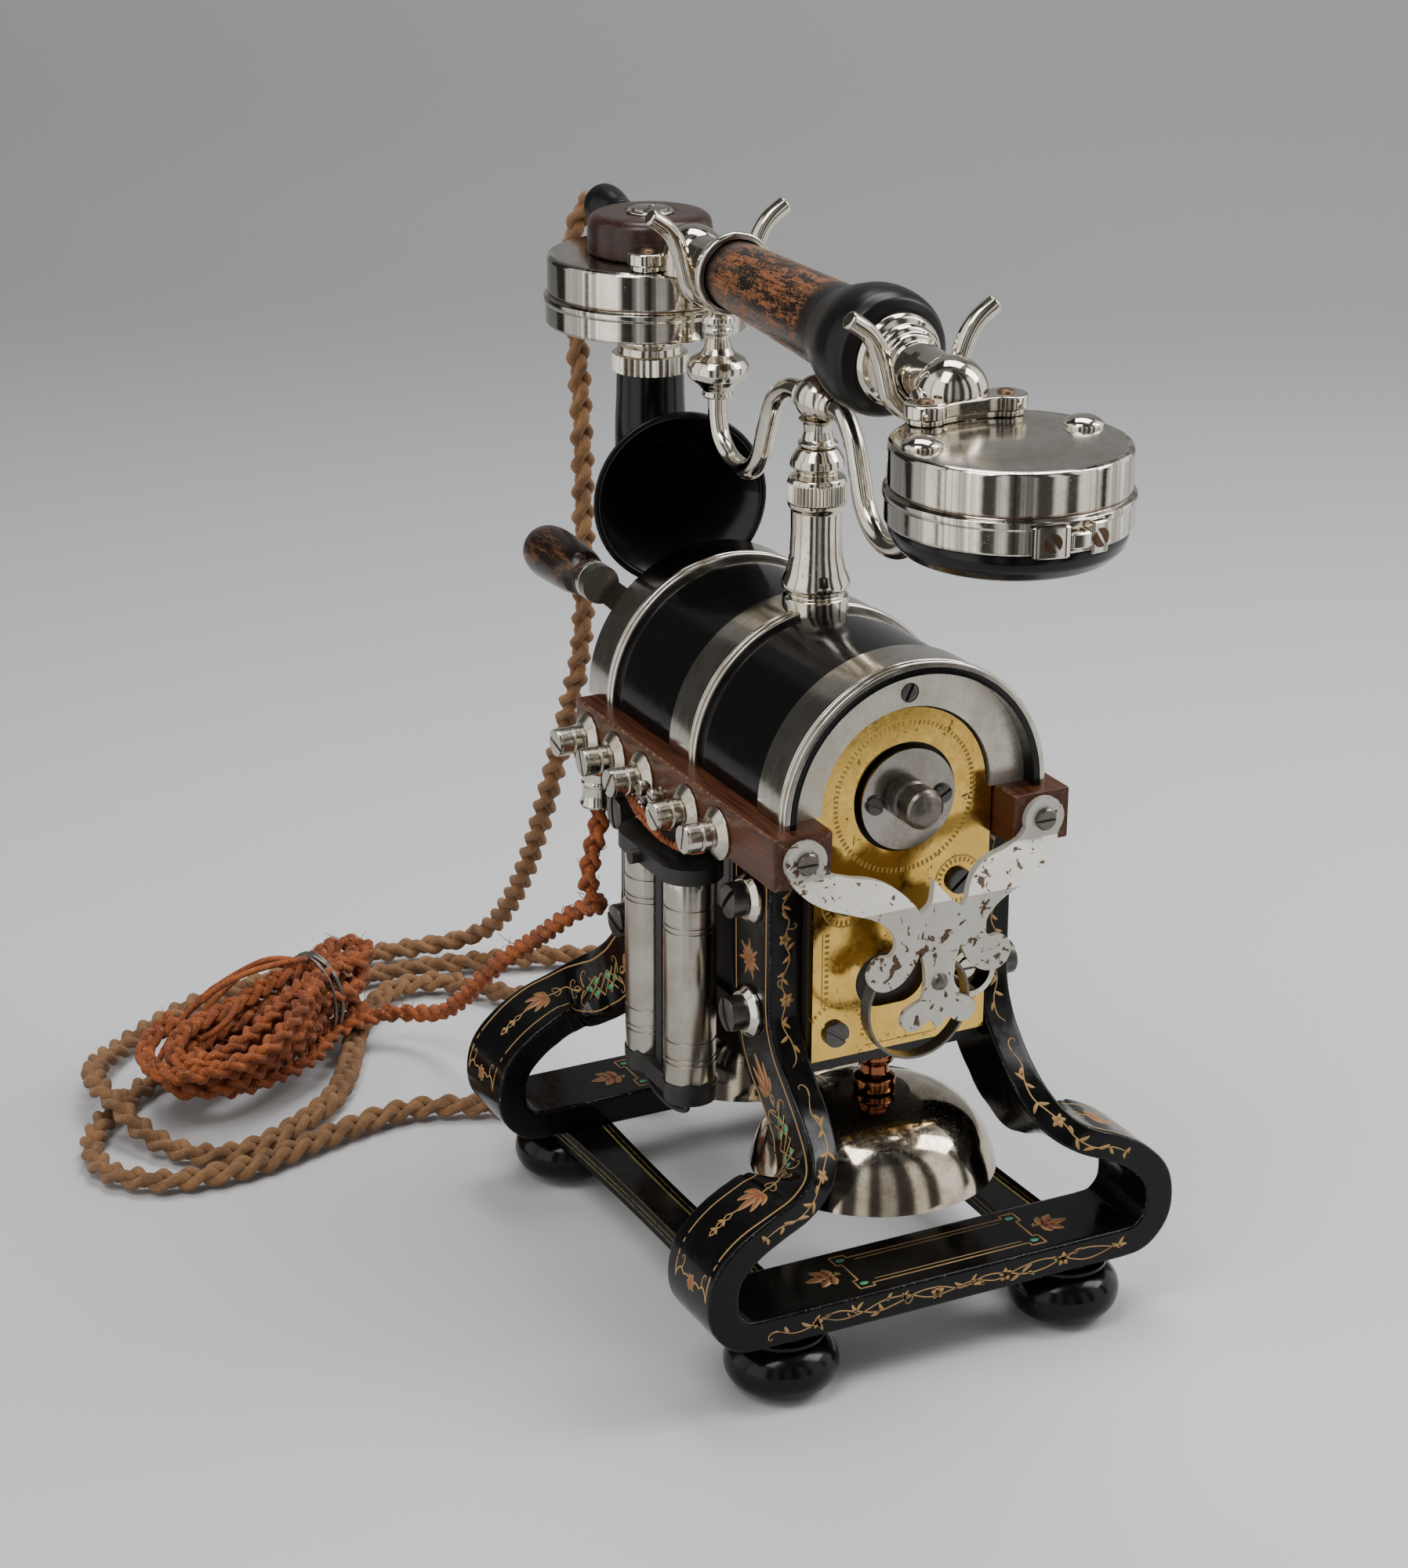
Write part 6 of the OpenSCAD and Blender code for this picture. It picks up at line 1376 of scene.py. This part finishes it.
def capsule(y, z):
    r, h = CAP_R, CAP_H
    return lathe([(0, 0), (r - 0.9, 0), (r - 0.6, 0.7), (r - 0.6, 6.9), (r - 0.1, 7.3), (r, 8.2), (r - 0.1, 9.1),
                  (r - 0.8, 9.5), (r - 1.4, 9.9), (r - 1.4, 10.3), (r - 1.2, 10.7), (r - 1.2, h - 1.4),
                  (r - 1.7, h - 0.5), (r - 2.6, h - 0.1), (r - 3.0, h - 0.25), (0, h - 0.25)], at(0, y, z), 144, 0.3)


def on_both(profile, sides):
    return [lathe(profile, at(0, y, z), sides) for y, z in CAPSULES]


def receiver():
    cup = [(0, 0), (5.6, 0), (5.7, 0.9), (5.45, 1.5), (4.9, 2.0), (4.0, 2.6), (2.8, 3.1), (1.4, 3.35), (0, 3.4)]
    parts = [capsule(*CAPSULES[0])]
    parts += [lathe(cup, at(*p, RECEIVER_Z + CAP_H - 0.4), 48) for p in polar(0, -CAP_Y, 25.4, (9, 171))]
    inner, outer, screws = CAP_R - 0.9, CAP_R + 2.7, []
    for lo, hi, low, high in ((-112, -95.5, 0.1, 8.8), (-85.5, -76.5, 0.1, 8.8), (-96, -85, 2.2, 6.4)):
        rings = []
        for k, deg in enumerate(np.linspace(lo, hi, 12)):
            c = 0.4 if k in (0, 11) else 0.0
            loop = [(inner, low), (outer - 0.4, low + c), (outer - c, low + 0.4), (outer - c, high - 0.4),
                    (outer - 0.4, high - c), (inner, high)]
            rings.append([(*polar(0, -CAP_Y, r, deg), RECEIVER_Z + z) for r, z in loop])
        parts.append(grid(rings, True, True))
    for deg in (-103.5, -81):
        where = at(*polar(0, -CAP_Y, outer - 0.7, deg), RECEIVER_Z + 4.4, (35, "Z"), (90, "Y"), (deg, "Z"))
        screws += slotted(2.7, -0.4, 0.95, where, 0.9, 0.8, 0.25)
    carried("receiver_case", parts, "case", "receiver")
    carried("receiver_clamp_screws", screws, "rust")
    seam, r = CAP_R - 1.45, CAP_R
    joint = [(seam, 9.9), (r - 1.3, 9.95), (r - 1.3, 10.25), (seam, 10.3)]
    carried("case_joints", on_both(joint, 144), "rust", sharp=0)
    lid = [(0, 0.05), (12, 0), (24, -0.08), (r - 3.4, -0.15), (r - 3.2, -0.3), (0, -0.3)]
    carried("case_lids", on_both([(x, CAP_H + z) for x, z in lid], 128), "lid")
    cap = [(0, -4), (2.6, -4.4), (12, -5.6), (r - 12, -9.2), (r - 9, -9.4), (r - 5.6, -8), (r - 2.6, -5), (r - 1.6, -2),
           (r - 1.8, -0.05), (0, -0.05)]
    carried("ear_cap", [lathe(cap, at(0, -CAP_Y, RECEIVER_Z), 128, 0.8)], "ebonite", "receiver_cap", sharp=50)


def transmitter():
    base, top = at(0, CAP_Y, TRANSMITTER_Z), at(0, CAP_Y, TRANSMITTER_Z + CAP_H)
    neck = [(0, -12.4), (8, -12.4), (8.2, -1.6), (11.2, -1.2), (12.4, -0.5), (12.4, 0.2), (0, 0.2)]
    washer = [(0, 12.8), (7.6, 12.8), (7.6, 13.3), (7.1, 13.7), (6.3, 13.7), (6.2, 13.2), (0, 13.2)]
    parts = [capsule(*CAPSULES[1]), lathe(neck, base, 80, 0.3), lathe(washer, top, 64, 0.15)]
    carried("transmitter_case", parts, "case", "transmitter")
    head = slotted(6.0, 12.6, 14.3, top @ at(0, 0, 0, (50, "Z")), 1.5, 0.9, 0.3, 0.25)
    carried("block_screw", head, "disc", "transmitter")
    block = rounded([(19.2, 0), (20, 0.8), (20, 8.4), (19.4, 11.2), (17.6, 12.7), (15, 13), (9.2, 13), (8.4, 12.7),
                     (0, 12.7)], 1.2, 5)
    carried("wood_block", [lathe([(0, 0), *block], top, 112)], "block", "transmitter", sharp=60)
    trumpet = [(0, 0.9), (3.4, 1.0), (4.4, 0.3), (5.2, 0.05), (6.2, 0.5), (6.9, 1.6), (7.0, 2.8), (6.8, 5.6), (5.9, 10),
               (4.7, 14), (4.4, 18), (0, 18)]
    carried("cord_knob", [lathe(trumpet, at(0, KNOB_END, KNOB_Z, (90, "X")), 72, 0.7)], "bulb", "transmitter", sharp=60)


def horn():
    turn = math.radians(10)
    way = np.array((-math.sin(turn), -math.cos(turn), 0))
    side = np.array((math.cos(turn), -math.sin(turn), 0))
    top = np.array((0, CAP_Y, TRANSMITTER_Z - 12.7))
    bend, throat, flare = 20, 17, 15
    arc = bend * math.pi / 2

    def spot(s):
        a = min(max(s - throat, 0), arc) / arc * math.pi / 2
        down = min(s, throat) + bend * math.sin(a)
        out = bend * (1 - math.cos(a)) + max(s - throat - arc, 0)
        return top + way * out - np.array((0, 0, down)), way * math.sin(a) - np.array((0, 0, 1)) * math.cos(a)

    def radius(u):
        return 10.8 + 1.2 * u + 16.5 * u ** 3.4

    # Out along the outside, round the lip and back in
    rows = [(u, radius(u)) for u in np.linspace(0, 1, 44)]
    rows += [(1 + 0.012 * math.sin(q), 28.5 - 1.1 + 1.1 * math.cos(q)) for q in np.linspace(0.5, math.pi, 8)]
    rows += [(u, radius(u) - 2.2) for u in np.linspace(0.99, 0.12, 40)]
    rings, a = [], circle(72)[:, None]
    for u, r in rows:
        p, t = spot(u * (throat + arc + flare))
        rings.append(p + r * (np.cos(a) * side + np.sin(a) * np.cross(t, side)))
    carried("horn_bell", [grid(rings, True, True)], "ebonite", "mouthpiece", body="mouthpiece", sharp=50)
    ring = [fluted(top[2] + z, r, 0.28 if r > 12 else 0, 36, CAP_Y, 144) for z, r in (
        (-3.4, 8.6), (-3.4, 11.8), (-3.1, 12.2), (2.4, 12.2), (2.7, 11.8), (2.8, 8.6))]
    carried("horn_ring", [grid(ring)], "nickel", "mouthpiece", body="mouthpiece")
    collar = [(8.6, 2.6), (10.6, 2.6), (10.4, 5.0), (9.4, 6.0), (9.2, 11.6), (8.6, 11.6), (8.6, 2.6)]
    carried("horn_collar", [lathe(collar, at(0, CAP_Y, top[2]), 96, 0.2)], "nickel", "mouthpiece", body="mouthpiece")


def crank_handle():
    (x, z), y = polar(0, AXIS_Z, 47.3, 138.6), 66.5 + 6 + 4 + 0.3
    where = at(x, y, z, (-90, "X"))
    ferrule = lathe([(0, 0), (6.2, 0), (6.2, 2.2), (5.6, 2.4), (5.6, 3.2), (0, 3.2)], where, 56, 0.25)
    carried("handle_ferrule", [ferrule], "nickel", "crank_handle", body="crank_knob")
    neck = rounded([(0, 3.1), (5.2, 3.1), (6.1, 3.6), (6.1, 4.6), (5.0, 5.4), (5.2, 6.6), (6.6, 8.2)], 0.3)
    swell = curved([(7.2, 9.4), (8.0, 14), (8.4, 22), (8.7, 31), (8.5, 36), (7.6, 39.6), (5.8, 42), (3.4, 42.8),
                    (2.6, 42.4)], 5)
    body = lathe([*neck, *swell, (2.4, 42.0), (0, 42.0)], where, 80)
    carried("handle_wood", [body], "handle", "crank_handle", body="crank_knob", sharp=50)


# --- Stage --------------------------------------------------------------------

def studio_walls():
    """A dark room with tall pale windows and screens at some bearings, for the metal to mirror."""
    world = bpy.data.worlds.new("world")
    g = Graph(world)
    x, y, z = g.split(g.node("TexCoord", out="Generated"))
    bearing = g.math("ARCTAN2", x, y * -1.0) * (180 / math.pi)
    total = 0.04
    for mid, half, power in ((-118, 16, 1.3), (-78, 20, 1.7), (-38, 5, 0.8), (-14, 7, 0.35), (16, 6, 0.9),
                             (48, 13, 1.2), (92, 22, 1.3), (150, 20, 0.7)):
        total = g.step(abs(bearing - float(mid)), half - 3, half + 3, power, 0.0) + total
    power = total * (g.step(z, -0.75, -0.60) * g.step(z, 0.62, 0.78, 1.0, 0.12)) + 0.03
    ground = g.tree.nodes["Background"]
    g.put(ground.inputs[0], (1.0, 0.985, 0.96))
    g.put(ground.inputs[1], g.lerp(g.node("LightPath", out="Is Camera Ray"), power, 0.32))
    bpy.context.scene.world = world


def studio_floor():
    """A sweep that faces the camera; a painted falloff of light darkens it with distance and to one side."""
    g = Graph(bpy.data.materials.new("studio_floor"))
    x, y, _ = g.split(g.mm())
    c, s = 0.889, 0.458         # of the camera's bearing
    # Painted falloff of light: darker away from the camera and towards one side
    painted_falloff = g.step(x * s + y * c, -150, 1400, 1.0, 0.64) * g.step(x * c - y * s, -600, 600, 0.90, 1.06)
    g.base = g.mix(painted_falloff, (0, 0, 0), (0.625, 0.63, 0.64))
    M["floor"] = g.done(Roughness=0.75)
    line = smooth([(-330, 0), (900, 0), (1500, 30), (1900, 260), (2100, 900), (2150, 2600)], 12)
    rings = [[(x * (620 + max(0, y) * 0.6), y, z) for x in (-1, 0, 1)] for y, z in line]
    sweep = move(grid(rings, False), at(-23, 2, 0, (VIEW_TURN, "Z")))
    piece("studio_floor", [sweep], "floor", body=None, sharp=0)


handset_cord()
line_cord()
lyre_frames()
straps()
paint()
feet()
barrel()
rails()
leg_screws()
terminals()
plate_screws()
bells()
coils()
leads_and_gland()
post()
cradle()
handset()
receiver()
transmitter()
horn()
crank_handle()
camera()
studio_walls()
studio_floor()
softbox("key", (-0.6, -0.35, 1.3), (0, 0, 0.12), (0.5, 0.7), 9)
softbox("fill", (0.95, -0.4, 1.1), (0, 0, 0.12), (0.5, 0.8), 11)
softbox("top", (0.3, 0.35, 1.5), (0, 0.05, 0.1), (0.9, 0.6), 15)
bpy.context.view_layer.update()
